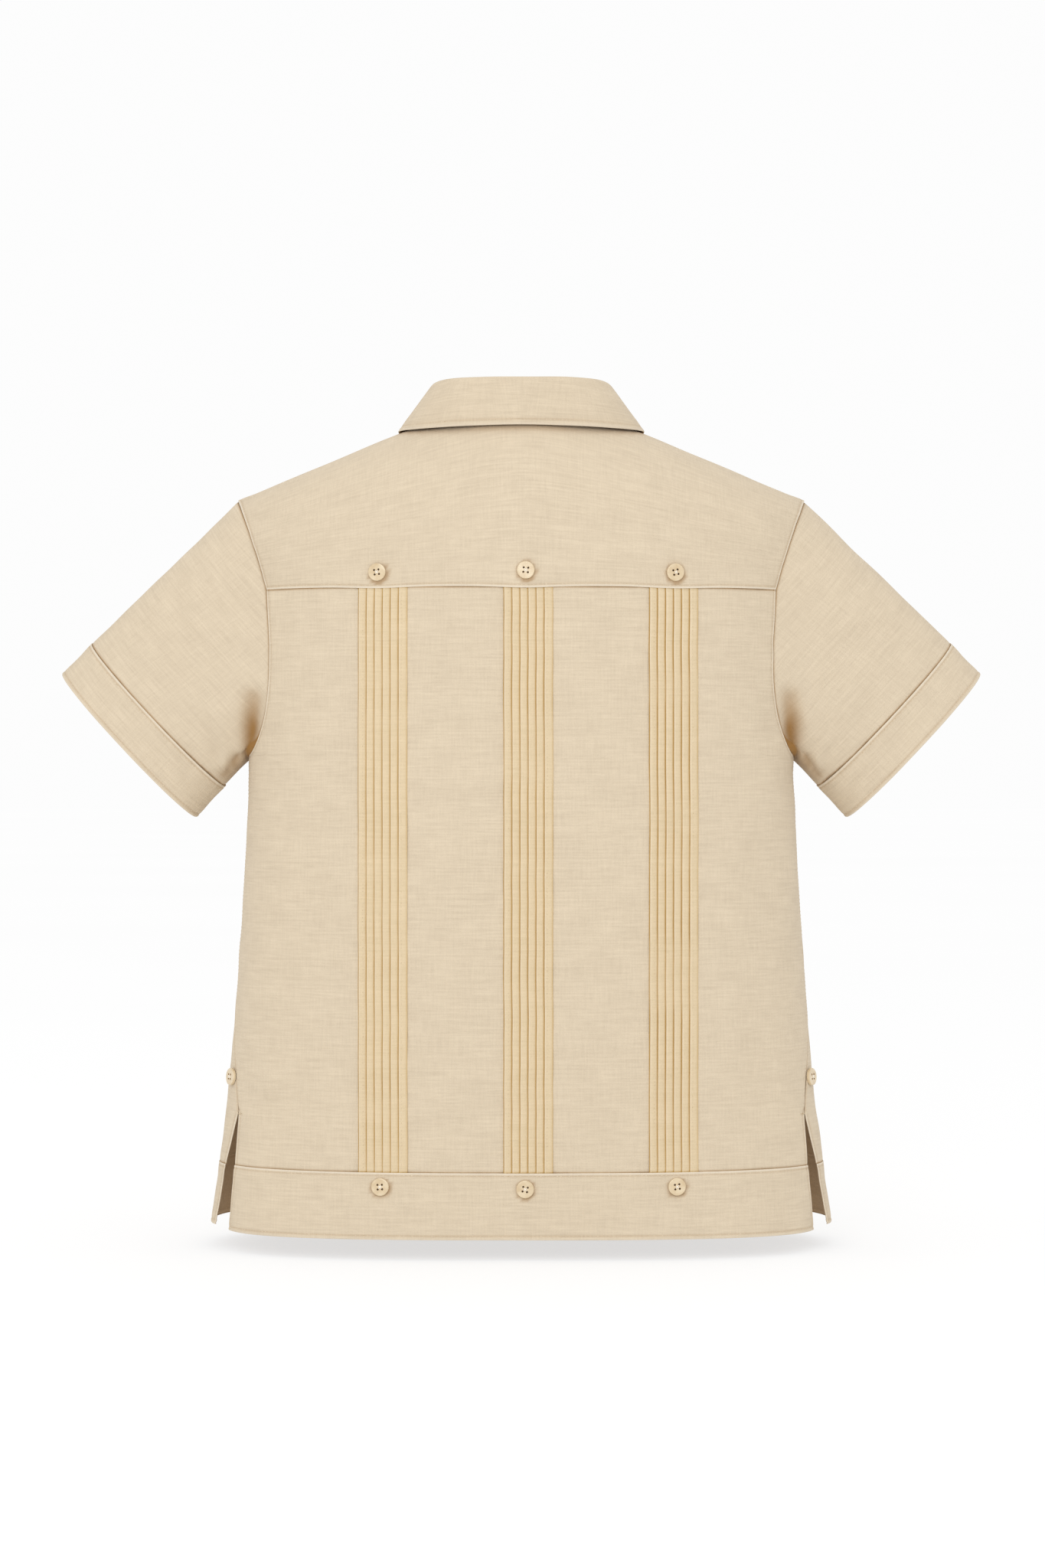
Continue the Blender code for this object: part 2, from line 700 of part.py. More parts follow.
def fold_point(angle):
    """Point on top of the collar's fold."""
    x, y = oval(angle, FOLD_HALF_WIDTH, FOLD_MIDDLE_Y, FOLD_DEPTH, FOLD_POWER)
    drop = FOLD_DROP * ((1 - math.sin(angle)) / 2) ** FOLD_DROP_POWER
    return Vector((x, y, FOLD_BACK_Z - drop))


def fold_outward(angle):
    """Level direction out of the fold's oval."""
    step = 0.01
    along = fold_point(angle + step) - fold_point(angle - step)
    return Vector((along.y, -along.x, 0.0)).normalized()


def leaf_edge(angle):
    """Point on the collar's free edge."""
    degrees = math.degrees(angle)
    mirror = degrees > 90
    if mirror:
        degrees = 180 - degrees
    x, y, z = (between(LEAF_EDGE, "degrees", degrees, column) for column in "xyz")
    return Vector((-x if mirror else x, y, z))


def make_collar():
    """The stand on the neck opening's edge, and the leaf folded over it."""
    first = math.radians(COLLAR_END_DEG)
    angles = [first + (math.pi - 2 * first) * step / COLLAR_STEPS for step in range(COLLAR_STEPS + 1)]
    neck = [shoulder_point(*neck_place(angle)) for angle in angles]
    tops = [fold_point(a) - fold_outward(a) * FOLD_INSIDE - Vector((0, 0, STAND_DROP)) for a in angles]
    foot = [base + (top - base).normalized() * STAND_GAP for base, top in zip(neck, tops)]
    cloth("collar_stand", blend(foot, tops, 2))
    rows = [[top + fold_outward(a) * out + Vector((0, 0, up)) for a, top in zip(angles, tops)]
            for out, up in FOLD_ROLL]
    edge = [leaf_edge(angle) for angle in angles]
    for step in range(1, LEAF_STEPS + 1):
        share = step / LEAF_STEPS
        swell = LEAF_CROWN * math.sin(math.pi * share)
        rows.append([start.lerp(end, share) + fold_outward(a) * swell
                     for start, end, a in zip(rows[4], edge, angles)])
    cloth("collar", rows[::-1])


# ---------------------------------------------------------------- buttons

def button_mesh():
    """A turned button with a raised rim and four holes, its back at the origin, facing +Z."""
    profile = ((0.0, 0.0), (BUTTON_RADIUS * 0.8, 0.0), (BUTTON_RADIUS, BUTTON_THICK * 0.45),
               (BUTTON_RADIUS * 0.93, BUTTON_THICK), (BUTTON_RADIUS * 0.8, BUTTON_THICK),
               (BUTTON_RECESS_RADIUS, BUTTON_THICK - BUTTON_RECESS), (0.0, BUTTON_THICK - BUTTON_RECESS))
    shape = bmesh.new()
    verts = [shape.verts.new((radius, 0.0, height)) for radius, height in profile]
    edges = [shape.edges.new(pair) for pair in zip(verts, verts[1:])]
    bmesh.ops.spin(shape, geom=verts + edges, cent=(0, 0, 0), axis=(0, 0, 1), angle=2 * math.pi,
                   steps=BUTTON_SIDES, use_merge=True)
    bmesh.ops.remove_doubles(shape, verts=shape.verts, dist=1e-6)
    bmesh.ops.recalc_face_normals(shape, faces=shape.faces)
    return mesh_from(shape, "button")


def hole_cutter():
    """Four pins that cut a button's holes."""
    shape = bmesh.new()
    half = BUTTON_HOLE_PITCH / 2
    for x in (-half, half):
        for y in (-half, half):
            bmesh.ops.create_cone(shape, cap_ends=True, segments=6, radius1=BUTTON_HOLE_RADIUS,
                                  radius2=BUTTON_HOLE_RADIUS, depth=BUTTON_THICK * 4,
                                  matrix=Matrix.Translation((x, y, 0.0)))
    cutter = bpy.data.objects.new("hole_cutter", mesh_from(shape, "hole_cutter"))
    bpy.context.collection.objects.link(cutter)
    cutter.hide_render = True
    cutter.display_type = "WIRE"
    return cutter


def pierced_button():
    """The button's mesh with its holes cut."""
    blank = bpy.data.objects.new("button_blank", button_mesh())
    bpy.context.collection.objects.link(blank)
    cutter = hole_cutter()
    cut = blank.modifiers.new("Holes", "BOOLEAN")
    cut.operation = "DIFFERENCE"
    cut.solver = "EXACT"
    cut.object = cutter
    bpy.context.view_layer.update()
    mesh = bpy.data.meshes.new_from_object(blank.evaluated_get(bpy.context.evaluated_depsgraph_get()))
    for scrap in (blank, cutter):
        bpy.data.objects.remove(scrap, do_unlink=True)
    return mesh


def set_button(name, mesh, point, outward):
    """Lay a button on the cloth at a point, facing outward, with a gap for its thread."""
    made = add_object(name, mesh.copy(), BUTTON_RESIN)
    made.location = point + outward * GAP
    made.rotation_mode = "QUATERNION"
    made.rotation_quaternion = outward.to_track_quat("Z", "Y")


def out_of_back(x, z):
    """Point and outward direction on the back, the hem band or the yoke at x and z."""
    if z < YOKE_SEAM_Z:
        return on_back(x, z), back_normal(x, z)
    step = 0.001
    here = on_yoke(x, z)
    normal = (on_yoke(x - step, z) - on_yoke(x + step, z)).cross(on_yoke(x, z + step) - here)
    return here, normal.normalized()


def on_yoke(x, z):
    """Point of the yoke's back at x and z."""
    rise = (z - YOKE_SEAM_Z) / (ridge_z(x) - YOKE_SEAM_Z)
    share = (1 - rise ** BACK_POWER) ** (1 / BACK_POWER)
    return shoulder_point(x / shoulder_point(1.0, share).x, share)


def out_of_side(z, y):
    """Point and outward direction on the left front beside its side seam."""
    step = 0.001
    here = ring_point(z, "front", angle_of_y(z, "front", y))
    ahead = ring_point(z, "front", angle_of_y(z, "front", y - step))
    below = ring_point(z - step, "front", angle_of_y(z - step, "front", y))
    return here, (ahead - here).cross(below - here).normalized()


def out_of_front_band(z):
    """Point on the button band's outer face at its middle, and its outward direction."""
    step = 0.001
    here, above = on_front_middle(z), on_front_middle(z + step)
    normal = Vector((0.0, here.z - above.z, above.y - here.y)).normalized()
    return here + normal * (GAP + WALL), normal


def on_front_middle(z):
    """Point of the fronts' form in the middle at z."""
    if z <= YOKE_SEAM_Z:
        return ring_point(z, "front", 0.0)
    rise = (z - YOKE_SEAM_Z) / (ridge_z(0.0) - YOKE_SEAM_Z)
    return shoulder_point(0.0, -(1 - rise ** FRONT_POWER_MIDDLE) ** (1 / FRONT_POWER_MIDDLE))


def make_buttons():
    """Buttons above and below each tuck band, beside each vent, and down the front."""
    mesh = pierced_button()
    for place in BACK_BUTTONS:
        set_button(f"button_{place.row}_{place.side}", mesh, *out_of_back(place.x, place.z))
    point, outward = out_of_side(*SIDE_BUTTON)
    point += outward * (BUTTON_RADIUS * math.sin(SIDE_BUTTON_TILT))
    outward = Matrix.Rotation(SIDE_BUTTON_TILT, 3, "Z") @ outward
    set_button("button_side_left", mesh, point, outward)
    flip = Matrix.Diagonal((-1.0, 1.0, 1.0))
    set_button("button_side_right", mesh, flip @ point, flip @ outward)
    for number in range(FRONT_BUTTON_COUNT):
        place = out_of_front_band(FRONT_BUTTON_TOP_Z - number * FRONT_BUTTON_PITCH)
        set_button(f"button_front_{number + 1}", mesh, *place)
    bpy.data.meshes.remove(mesh)


def main():
    """Build the whole shirt."""
    for old in list(bpy.data.objects):
        bpy.data.objects.remove(old, do_unlink=True)
    make_back()
    for name, middle in TUCK_BANDS:
        make_tuck_band(f"tuck_band_{name}", middle)
    make_yoke()
    make_fronts()
    make_front_band()
    make_sleeves()
    make_collar()
    make_buttons()


main()
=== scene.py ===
"""The looks of a boy's short-sleeved guayabera shirt in fine linen, filled out as if worn.

Metres, +Z up; the wearer faces -Y and has the left arm on +X. A cloth piece is a grid laid on the shirt's
form, given its folded edges, seams and creases as small heights, and then its thickness. Its rows run from
bottom to top and its columns from left to right, both as seen from outside.
"""
from __future__ import annotations

import logging
import math
from dataclasses import dataclass, replace
from enum import Enum
from typing import Any, Sequence, Union

import bpy
import numpy as np
from mathutils import Matrix, Vector

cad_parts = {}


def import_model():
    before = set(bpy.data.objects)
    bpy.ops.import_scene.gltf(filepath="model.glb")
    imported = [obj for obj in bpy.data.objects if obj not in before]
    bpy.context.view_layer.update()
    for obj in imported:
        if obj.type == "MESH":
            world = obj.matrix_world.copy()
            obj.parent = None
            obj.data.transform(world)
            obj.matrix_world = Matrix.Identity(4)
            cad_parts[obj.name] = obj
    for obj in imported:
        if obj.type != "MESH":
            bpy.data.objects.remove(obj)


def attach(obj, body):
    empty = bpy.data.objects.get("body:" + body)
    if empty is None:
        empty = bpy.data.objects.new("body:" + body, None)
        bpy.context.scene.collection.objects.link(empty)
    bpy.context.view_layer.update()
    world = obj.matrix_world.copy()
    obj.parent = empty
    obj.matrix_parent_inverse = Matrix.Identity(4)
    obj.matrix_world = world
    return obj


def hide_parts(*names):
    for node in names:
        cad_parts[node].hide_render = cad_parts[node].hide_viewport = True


LOG = logging.getLogger("guayabera")
Array = np.ndarray
Number = Union[float, Array]

# Heights of the shirt's seams and edges
HEM_Z = -0.533
FRONT_HEM_Z = -0.530
HEM_SEAM_Z = -0.490
VENT_TOP_Z = -0.456
UNDERARM_Z = -0.2215
YOKE_SEAM_Z = -0.113

# Distances of the grid lines beside an edge, and the line that each kind of stitching follows
EDGE_LINES = (0.0, 0.0003, 0.0007, 0.0012, 0.0019, 0.0026, 0.0036, 0.0050, 0.0070, 0.0095)
NEAR_STITCH = 4
FAR_STITCH = 5
LEAF_STITCH = 6
BAND_STITCH = 7

# Thicknesses of one layer of cloth, a pressed tuck, a turned hem, the double pieces and the collar's leaf
ONE_LAYER = 0.0005
TUCK_LAYER = 0.0003
HEM_LAYERS = 0.0007
TWO_LAYERS = 0.0008
LEAF_LAYERS = 0.0010

# Painted warm shade on the inner faces, by the side vents and well above them
INSIDE = (0.3, 0.3)
BODY_INSIDE = (0.7, 0.25)
LEAF_INSIDE = (0.6, 0.6)
INSIDE_FADE = 0.05


class Side(Enum):
    """The two halves of the body; the value is the way they face along Y."""
    BACK = 1
    FRONT = -1


class Hand(Enum):
    """The wearer's hands; the value is their side along X."""
    LEFT = 1
    RIGHT = -1

    def column(self, index: int) -> int:
        """Number of a front's column, counted in from this hand's side of the body."""
        return -1 - index if self is Hand.LEFT else index


class Slot(Enum):
    """Material slots of the record."""
    LINEN = "linen"
    TUCKED = "tucked_linen"
    RESIN = "resin"


# ---------------------------------------------------------------- numbers along tables and paths

def read(keys: Sequence[float], values: Sequence[float], place: Number, reach: float = 0.012) -> Array:
    """Read a table at places, straight between its rows and rounded over where they meet.

    Args:
        keys: the rows' places, rising.
        values: the rows' values.
        place: where to read.
        reach: how far to either side the rounding looks.

    Returns:
        The value at each place.
    """
    keys, values = np.array(keys, float), np.array(values, float)
    keys = np.concatenate(([2 * keys[0] - keys[1]], keys, [2 * keys[-1] - keys[-2]]))
    values = np.concatenate(([2 * values[0] - values[1]], values, [2 * values[-1] - values[-2]]))
    steps = (-1, -0.5, 0, 0.5, 1)
    return sum(np.interp(np.asarray(place) + step * reach, keys, values) for step in steps) / len(steps)


def travelled(path: Array) -> Array:
    """Distance along a path at each of its points."""
    steps = np.linalg.norm(np.diff(path, axis=0), axis=1)
    return np.concatenate(([0.0], np.cumsum(steps)))


def at_distances(path: Array, distances: Array) -> Array:
    """Points of a path at distances along it."""
    length = travelled(path)
    return np.stack([np.interp(distances, length, path[:, axis]) for axis in range(path.shape[1])], -1)


def grid_lines(length: float, count: int, low: Sequence[float] = EDGE_LINES,
               high: Sequence[float] = EDGE_LINES) -> Array:
    """Distances of grid lines across a length, close together beside its edges.

    Args:
        length: the whole length.
        count: how many lines lie between the close ones.
        low: close lines from the start.
        high: close lines from the end.

    Returns:
        Rising distances from 0 to the length.
    """
    shrink = min(1.0, 0.96 * length / (low[-1] + high[-1] + 1e-9))
    low, high = np.array(low) * shrink, np.array(high) * shrink
    middle = np.linspace(low[-1], length - high[-1], count + 2)[1:-1]
    return np.concatenate((low, middle, length - high[::-1]))


def distance_to(points: Array, path: Array) -> Array:
    """Distance of points from a path.

    Args:
        points: any number of points.
        path: corners of the path.

    Returns:
        One distance for each point, in the points' own arrangement.
    """
    flat = points.reshape(-1, 3)
    start, along = path[:-1], np.diff(path, axis=0)
    square = np.maximum((along ** 2).sum(-1), 1e-18)
    nearest = np.full(len(flat), 1e9)
    for first in range(0, len(flat), 2000):
        some = flat[first:first + 2000, None, :]
        share = np.clip(((some - start) * along).sum(-1) / square, 0, 1)
        gap = some - start - share[..., None] * along
        nearest[first:first + 2000] = np.sqrt((gap ** 2).sum(-1).min(1))
    return nearest.reshape(points.shape[:-1])


def direction(vectors: Array) -> Array:
    """Vectors made one long."""
    return vectors / np.maximum(np.linalg.norm(vectors, axis=-1, keepdims=True), 1e-12)


# ---------------------------------------------------------------- form of the shirt

@dataclass(frozen=True)
class BodyForm:
    """The body's level sections, side seams and armholes, and the shoulders above the yoke's seam."""
    heights: tuple = (HEM_Z, HEM_SEAM_Z, VENT_TOP_Z, -0.427, -0.376, -0.325, -0.274, UNDERARM_Z, YOKE_SEAM_Z)
    back_width: tuple = (0.1956, 0.1960, 0.1960, 0.1930, 0.1887, 0.1852, 0.1825, 0.1800, 0.1810)
    back_depth: tuple = (0.0830, 0.0835, 0.0840, 0.0850, 0.0865, 0.0880, 0.0885, 0.0880, 0.0850)
    back_power: tuple = (2.95, 2.60, 2.30, 2.32, 2.36, 2.40, 2.40, 2.40, 2.40)
    front_width: tuple = (0.2068, 0.2002, 0.1960, 0.1930, 0.1887, 0.1852, 0.1825, 0.1800, 0.1810)
    front_depth: tuple = (0.0980, 0.0985, 0.0990, 0.0995, 0.0995, 0.0995, 0.0990, 0.0980, 0.0950)
    front_power: tuple = (2.50, 2.40, 2.30, 2.25, 2.20, 2.15, 2.10, 2.10, 2.10)
    seam_heights: tuple = (HEM_Z, HEM_SEAM_Z, VENT_TOP_Z, -0.427, -0.376, UNDERARM_Z)
    seam_back_y: tuple = (0.0300, 0.0350, 0.0335, 0.0250, 0.0060, 0.0)
    seam_front_y: tuple = (0.0236, 0.0264, 0.0335, 0.0250, 0.0060, 0.0)
    seam_gap: float = 0.00005
    ridge_y: float = -0.005
    ridge_peak: float = 0.0293
    ridge_slope: float = 0.4268
    ridge_round: float = 0.030
    shoulder_half: float = 0.188
    back_round: float = 2.6
    chest_round: tuple = (1.25, 2.40)
    armhole_round: float = 2.4
    armhole_middle: float = -0.150
    armhole_back: tuple = (0.0445, 0.0420)
    armhole_front: float = 0.0470
    armhole_floor: float = 3.0
    yoke_front_share: float = -0.30

    def section(self, side: Side, z: Number) -> list[Array]:
        """Half width, depth and roundness of a panel's level section at z."""
        rows = ((self.back_width, self.back_depth, self.back_power) if side is Side.BACK
                else (self.front_width, self.front_depth, self.front_power))
        return [read(self.heights, row, z) for row in rows]

    def point(self, side: Side, z: Number, angle: Number) -> Array:
        """Points of a panel; the angle runs from its middle out to +X, or to -X if it is negative."""
        z, angle = np.broadcast_arrays(np.asarray(z, float), np.asarray(angle, float))
        width, depth, power = self.section(side, z)
        if side is Side.FRONT:
            _, back_depth, back_power = self.section(Side.BACK, np.maximum(z, VENT_TOP_Z))
            past = np.abs(angle) > math.pi / 2
            depth, power = np.where(past, back_depth, depth), np.where(past, back_power, power)
        sin, cos = np.sin(angle), np.cos(angle)
        x = np.sign(sin) * width * np.abs(sin) ** (2 / power)
        y = side.value * np.sign(cos) * depth * np.abs(cos) ** (2 / power)
        return np.stack([x, y, z], -1)

    def angle_at_y(self, side: Side, z: float, y: float) -> float:
        """Angle at which a panel's section reaches the depth y."""
        _, depth, power = self.section(side, z)
        if y * side.value >= 0:
            return float(np.arccos((abs(y) / depth) ** (power / 2)))
        _, depth, power = self.section(Side.BACK, max(z, VENT_TOP_Z))
        return float(math.pi - np.arccos((abs(y) / depth) ** (power / 2)))

    def angle_at_x(self, side: Side, z: Number, x: Number) -> Array:
        """Angle at which a panel's section reaches x."""
        width, _, power = self.section(side, z)
        return np.sign(x) * np.arcsin(np.clip(np.abs(x) / width, 0, 1) ** (power / 2))

    def armhole_y(self, side: Side, z: float) -> float:
        """Depth of the armhole's edge below the yoke's seam."""
        depth = self.armhole_front
        if side is Side.BACK:
            rise = max(0.0, (z - self.armhole_middle) / (YOKE_SEAM_Z - self.armhole_middle))
            depth = self.armhole_back[0] + (self.armhole_back[1] - self.armhole_back[0]) * rise
        fall = min(max(0.0, (self.armhole_middle - z) / (self.armhole_middle - UNDERARM_Z)), 1.0)
        return side.value * depth * (1 - fall ** self.armhole_floor) ** (1 / self.armhole_floor)

    def edge_angle(self, side: Side, z: float) -> float:
        """Angle of a panel's side edge: its vent, side seam or armhole."""
        if z > UNDERARM_Z:
            return self.angle_at_y(side, z, self.armhole_y(side, z))
        edges = self.seam_back_y if side is Side.BACK else self.seam_front_y
        y = float(np.interp(z, self.seam_heights, edges))
        return self.angle_at_y(side, z, y + side.value * self.seam_gap)

    def foot_x(self, side: Side) -> float:
        """How far out the armhole's edge is at the height of the yoke's seam."""
        return float(self.point(side, YOKE_SEAM_Z, self.edge_angle(side, YOKE_SEAM_Z))[0])

    def shoulder(self, across: Number, share: Number) -> Array:
        """Points above the yoke seam's height.

        Args:
            across: 0 in the middle, 1 and -1 at the armholes.
            share: 1 at the back's yoke seam, 0 on the shoulder's ridge, -1 at that height on the chest.

        Returns:
            The points.
        """
        across, share = np.broadcast_arrays(np.asarray(across, float), np.asarray(share, float))
        back = share >= 0
        wide, deep, power = (np.where(back, b, f) for b, f in
                             zip(self.section(Side.BACK, YOKE_SEAM_Z), self.section(Side.FRONT, YOKE_SEAM_Z)))
        foot_x = np.where(back, self.foot_x(Side.BACK), self.foot_x(Side.FRONT))
        size = np.clip(np.abs(share), 0, 1)
        spread = (1 - size ** self.armhole_round) ** (1 / self.armhole_round)
        x = across * (foot_x + (self.shoulder_half - foot_x) * spread)
        foot_y = np.where(back, 1, -1) * deep * (1 - (np.abs(across) * foot_x / wide) ** power) ** (1 / power)
        y = self.ridge_y + (foot_y - self.ridge_y) * size
        middle, end = self.chest_round
        bend = np.where(back, self.back_round, middle + (end - middle) * across ** 2)
        rise = (1 - size ** bend) ** (1 / bend)
        ridge = self.ridge_peak - self.ridge_slope * np.hypot(x, self.ridge_round)
        return np.stack([x, y, YOKE_SEAM_Z + (ridge - YOKE_SEAM_Z) * rise], -1)

    def shoulder_place(self, x: Array, y: Array) -> tuple[Array, Array]:
        """The across and share values of the shoulder's points above plan positions."""
        x, y = np.broadcast_arrays(np.asarray(x, float), np.asarray(y, float))
        way = np.where(y > self.ridge_y, 1.0, -1.0)
        share, across = 0.5 * way, np.full(x.shape, 0.3)
        for _ in range(40):
            across = x / self.shoulder(1.0, share)[..., 0]
            full_y = self.shoulder(np.clip(across, -1, 1), way)[..., 1]
            share = np.clip((y - self.ridge_y) / (full_y - self.ridge_y), 0, 1) * way
        return across, share

    def turn_of(self, share: Number) -> Array:
        """Turn a share into an angle, which spaces points evenly round the shoulder."""
        share = np.asarray(share, float)
        return np.arccos(np.sign(share) * np.abs(share) ** (self.back_round / 2))

    def share_of(self, turn: Number) -> Array:
        """Turn that angle back into a share."""
        cos = np.cos(turn)
        return np.sign(cos) * np.abs(cos) ** (2 / self.back_round)

    def on_back(self, x: Number, z: Number) -> Array:
        """Points of the back or of its hem band."""
        return self.point(Side.BACK, z, self.angle_at_x(Side.BACK, z, x))

    def on_yoke(self, x: Number, z: Number) -> Array:
        """Points of the yoke's back."""
        x, z = np.asarray(x, float), np.asarray(z, float)
        ridge = self.ridge_peak - self.ridge_slope * np.hypot(x, self.ridge_round)
        rise = np.clip((z - YOKE_SEAM_Z) / (ridge - YOKE_SEAM_Z), 0, 1)
        share = (1 - rise ** self.back_round) ** (1 / self.back_round)
        return self.shoulder(x / self.shoulder(1.0, share)[..., 0], share)

    def on_chest_middle(self, z: float) -> Array:
        """The fronts' form in the middle at z."""
        if z <= YOKE_SEAM_Z:
            return self.point(Side.FRONT, z, 0.0)
        ridge = self.ridge_peak - self.ridge_slope * self.ridge_round
        rise = (z - YOKE_SEAM_Z) / (ridge - YOKE_SEAM_Z)
        return self.shoulder(0.0, -(1 - rise ** self.chest_round[0]) ** (1 / self.chest_round[0]))


@dataclass(frozen=True)
class Oval:
    """A rounded oval seen from above; its angle is 0 at the wearer's left and 90 degrees at the back."""
    half_width: float
    middle_y: float
    depth: float
    power: float

    def at(self, angle: Number) -> tuple[Array, Array]:
        """Plan position at an angle."""
        cos, sin = np.cos(angle), np.sin(angle)
        x = np.sign(cos) * self.half_width * np.abs(cos) ** (2 / self.power)
        return x, self.middle_y + np.sign(sin) * self.depth * np.abs(sin) ** (2 / self.power)


@dataclass(frozen=True)
class NeckForm:
    """The neck opening's edge on the shoulders."""
    body: BodyForm
    oval: Oval = Oval(0.060, -0.004, 0.058, 2.6)

    def place(self, angle: Number) -> tuple[Array, Array]:
        """The across and share values of the opening's edge."""
        return self.body.shoulder_place(*self.oval.at(angle))

    def angle_where(self, part: int, value: float) -> float:
        """Angle on the front left at which the edge's across (0) or share (1) reaches a value."""
        angles = np.radians(np.linspace(-90.0, -1.0, 900))
        found = self.place(angles)[part]
        return float(np.interp(value, found, angles))


FORM = BodyForm()
NECK = NeckForm(FORM)


# ---------------------------------------------------------------- heights on the cloth

@dataclass(frozen=True)
class EdgeShape:
    """Height of the cloth beside a seam or an edge, by the distance from it."""
    distances: tuple
    heights: tuple

    def at(self, distance: Array) -> Array:
        """Heights at distances from the edge."""
        return np.interp(distance, self.distances, self.heights)

    def beside(self, points: Array, *paths: Array) -> Array:
        """Heights of points beside edges that run along paths."""
        return sum(self.at(distance_to(points, path)) for path in paths)


# A folded edge stitched down on its neighbour, a piece that goes under such an edge, a plain hem, and a
# side seam
FOLDED = EdgeShape((0.0, 0.0003, 0.0007, 0.0012, 0.0019, 0.0026, 0.0036, 0.0070, 0.0110),
                   (0.00030, 0.00050, 0.00056, 0.00050, 0.00028, 0.00044, 0.00048, 0.00030, 0.0))
UNDER = EdgeShape((0.0, 0.0007, 0.0019, 0.0050), (-0.00022, -0.00018, -0.00006, 0.0))
HEMMED = EdgeShape((0.0, 0.0003, 0.0007, 0.0012, 0.0019, 0.0026, 0.0036, 0.0070, 0.0110),
                   (-0.00022, 0.00002, 0.00014, 0.00014, -0.00004, -0.00020, 0.00008, 0.00012, 0.0))
JOINED = EdgeShape((0.0, 0.0003, 0.0007, 0.0019, 0.0036, 0.0070),
                   (-0.00045, -0.00015, 0.0001, 0.00016, 0.0001, 0.0))


@dataclass(frozen=True)
class PaintedLine:
    """A soft line beside an edge: painted warm shade, or a painted highlight where its strength is below 0."""
    strength: float
    distance: float
    spread: float


# Painted shade under edges, at seams and along stitching; painted highlight on raised edges; the collar leaf's
# painted shadow on the yoke
UNDER_SHADE = PaintedLine(0.8, 0.0, 0.0009)
SEAM_SHADE = PaintedLine(0.22, 0.0, 0.0009)
FOLD_HIGHLIGHT = PaintedLine(-0.55, 0.0006, 0.0005)
FOLD_STITCH_SHADE = PaintedLine(0.26, EDGE_LINES[NEAR_STITCH], 0.00055)
HEM_HIGHLIGHT = PaintedLine(-0.25, 0.0004, 0.0005)
HEM_STITCH_SHADE = PaintedLine(0.25, EDGE_LINES[FAR_STITCH], 0.0006)
LEAF_HIGHLIGHT = PaintedLine(-0.45, 0.0006, 0.0006)
LEAF_STITCH_SHADE = PaintedLine(0.20, EDGE_LINES[LEAF_STITCH], 0.0005)
LEAF_SHADE = PaintedLine(0.70, 0.0, 0.0035)


class PaintedLight:
    """Painted light on a piece's points: painted shade above 0, painted highlight below 0."""

    def __init__(self, points: Array) -> None:
        """Start with no painted shade or highlight anywhere."""
        self.points = points
        self.value = np.zeros(points.shape[:-1])

    def line(self, soft: PaintedLine, *paths: Array) -> PaintedLight:
        """Add a soft painted line, shade or highlight by its strength's sign, beside the nearest of the paths.
        """
        near = np.min([distance_to(self.points, path) for path in paths], axis=0)
        self.value = self.value + soft.strength * np.exp(-((near - soft.distance) / soft.spread) ** 2)
        return self

    def under(self, *paths: Array) -> PaintedLight:
        """Paint shade on the edges that go under a neighbour's fold."""
        return self.line(UNDER_SHADE, *paths)

    def fold(self, *paths: Array) -> PaintedLight:
        """Paint a highlight on folded edges, and shade along their stitching beside them."""
        return self.line(FOLD_HIGHLIGHT, *paths).line(FOLD_STITCH_SHADE, *paths)

    def hem(self, *paths: Array) -> PaintedLight:
        """Paint a faint highlight on hems, and shade along their stitching."""
        return self.line(HEM_HIGHLIGHT, *paths).line(HEM_STITCH_SHADE, *paths)


@dataclass(frozen=True)
class Crease:
    """A soft trough or ridge, from one flat place to another; it is strongest nearer its start."""
    start: tuple
    end: tuple
    width: float
    height: float
    bow: float = 0.0
    lean: float = 0.65

    def at(self, place: Array) -> Array:
        """Heights at flat places."""
        start, end = np.array(self.start), np.array(self.end)
        length = np.linalg.norm(end - start)
        along = (end - start) / length
        offset = place - start
        share = np.clip(offset @ along / length, 0, 1)
        aside = offset @ np.array((-along[1], along[0])) - self.bow * 4 * share * (1 - share)
        spread = self.width / 2 * (0.75 + 0.5 * share)
        return self.height * np.sin(math.pi * share ** self.lean) ** 2 * np.exp(-(aside / spread) ** 2)


def unevenness(place: Array, seed: int, height: float, lengths: tuple[float, float] = (0.022, 0.10),
               count: int = 11) -> Array:
    """Faint waves all over a cloth piece.

    Args:
        place: flat places.
        seed: picks the waves.
        height: about how high they are.
        lengths: the shortest and the longest of them.
        count: how many there are.

    Returns:
        Heights at the places.
    """
    pick = np.random.default_rng(seed)
    total = np.zeros(place.shape[:-1])
    for _ in range(count):
        turn = pick.uniform(0, math.pi)
        phase = pick.uniform(0, 2 * math.pi)
        length = pick.uniform(*lengths)
        total += np.sin(2 * math.pi * (place @ np.array((math.cos(turn), math.sin(turn)))) / length + phase)
    return height * total / 4


def puckers(along: Array, distance: Array, seed: int, height: float, reach: float = 0.009,
            lengths: tuple = (0.0062, 0.0081, 0.0117, 0.0190)) -> Array:
    """Little gathers that stand square to a stitched seam and fade away from it.

    Args:
        along: distance along the seam.
        distance: distance from the seam.
        seed: picks where they are.
        height: how high the tallest are.
        reach: how far from the seam they go.
        lengths: the waves that they are made of.

    Returns:
        Heights at the points.
    """
    pick = np.random.default_rng(seed)
    wave = np.zeros(along.shape)
    for length in lengths:
        wave += np.sin(2 * math.pi * along / length + pick.uniform(0, 2 * math.pi))
    return height * wave / 2.5 * np.exp(-(distance / reach) ** 2)


# ---------------------------------------------------------------- sheets of cloth

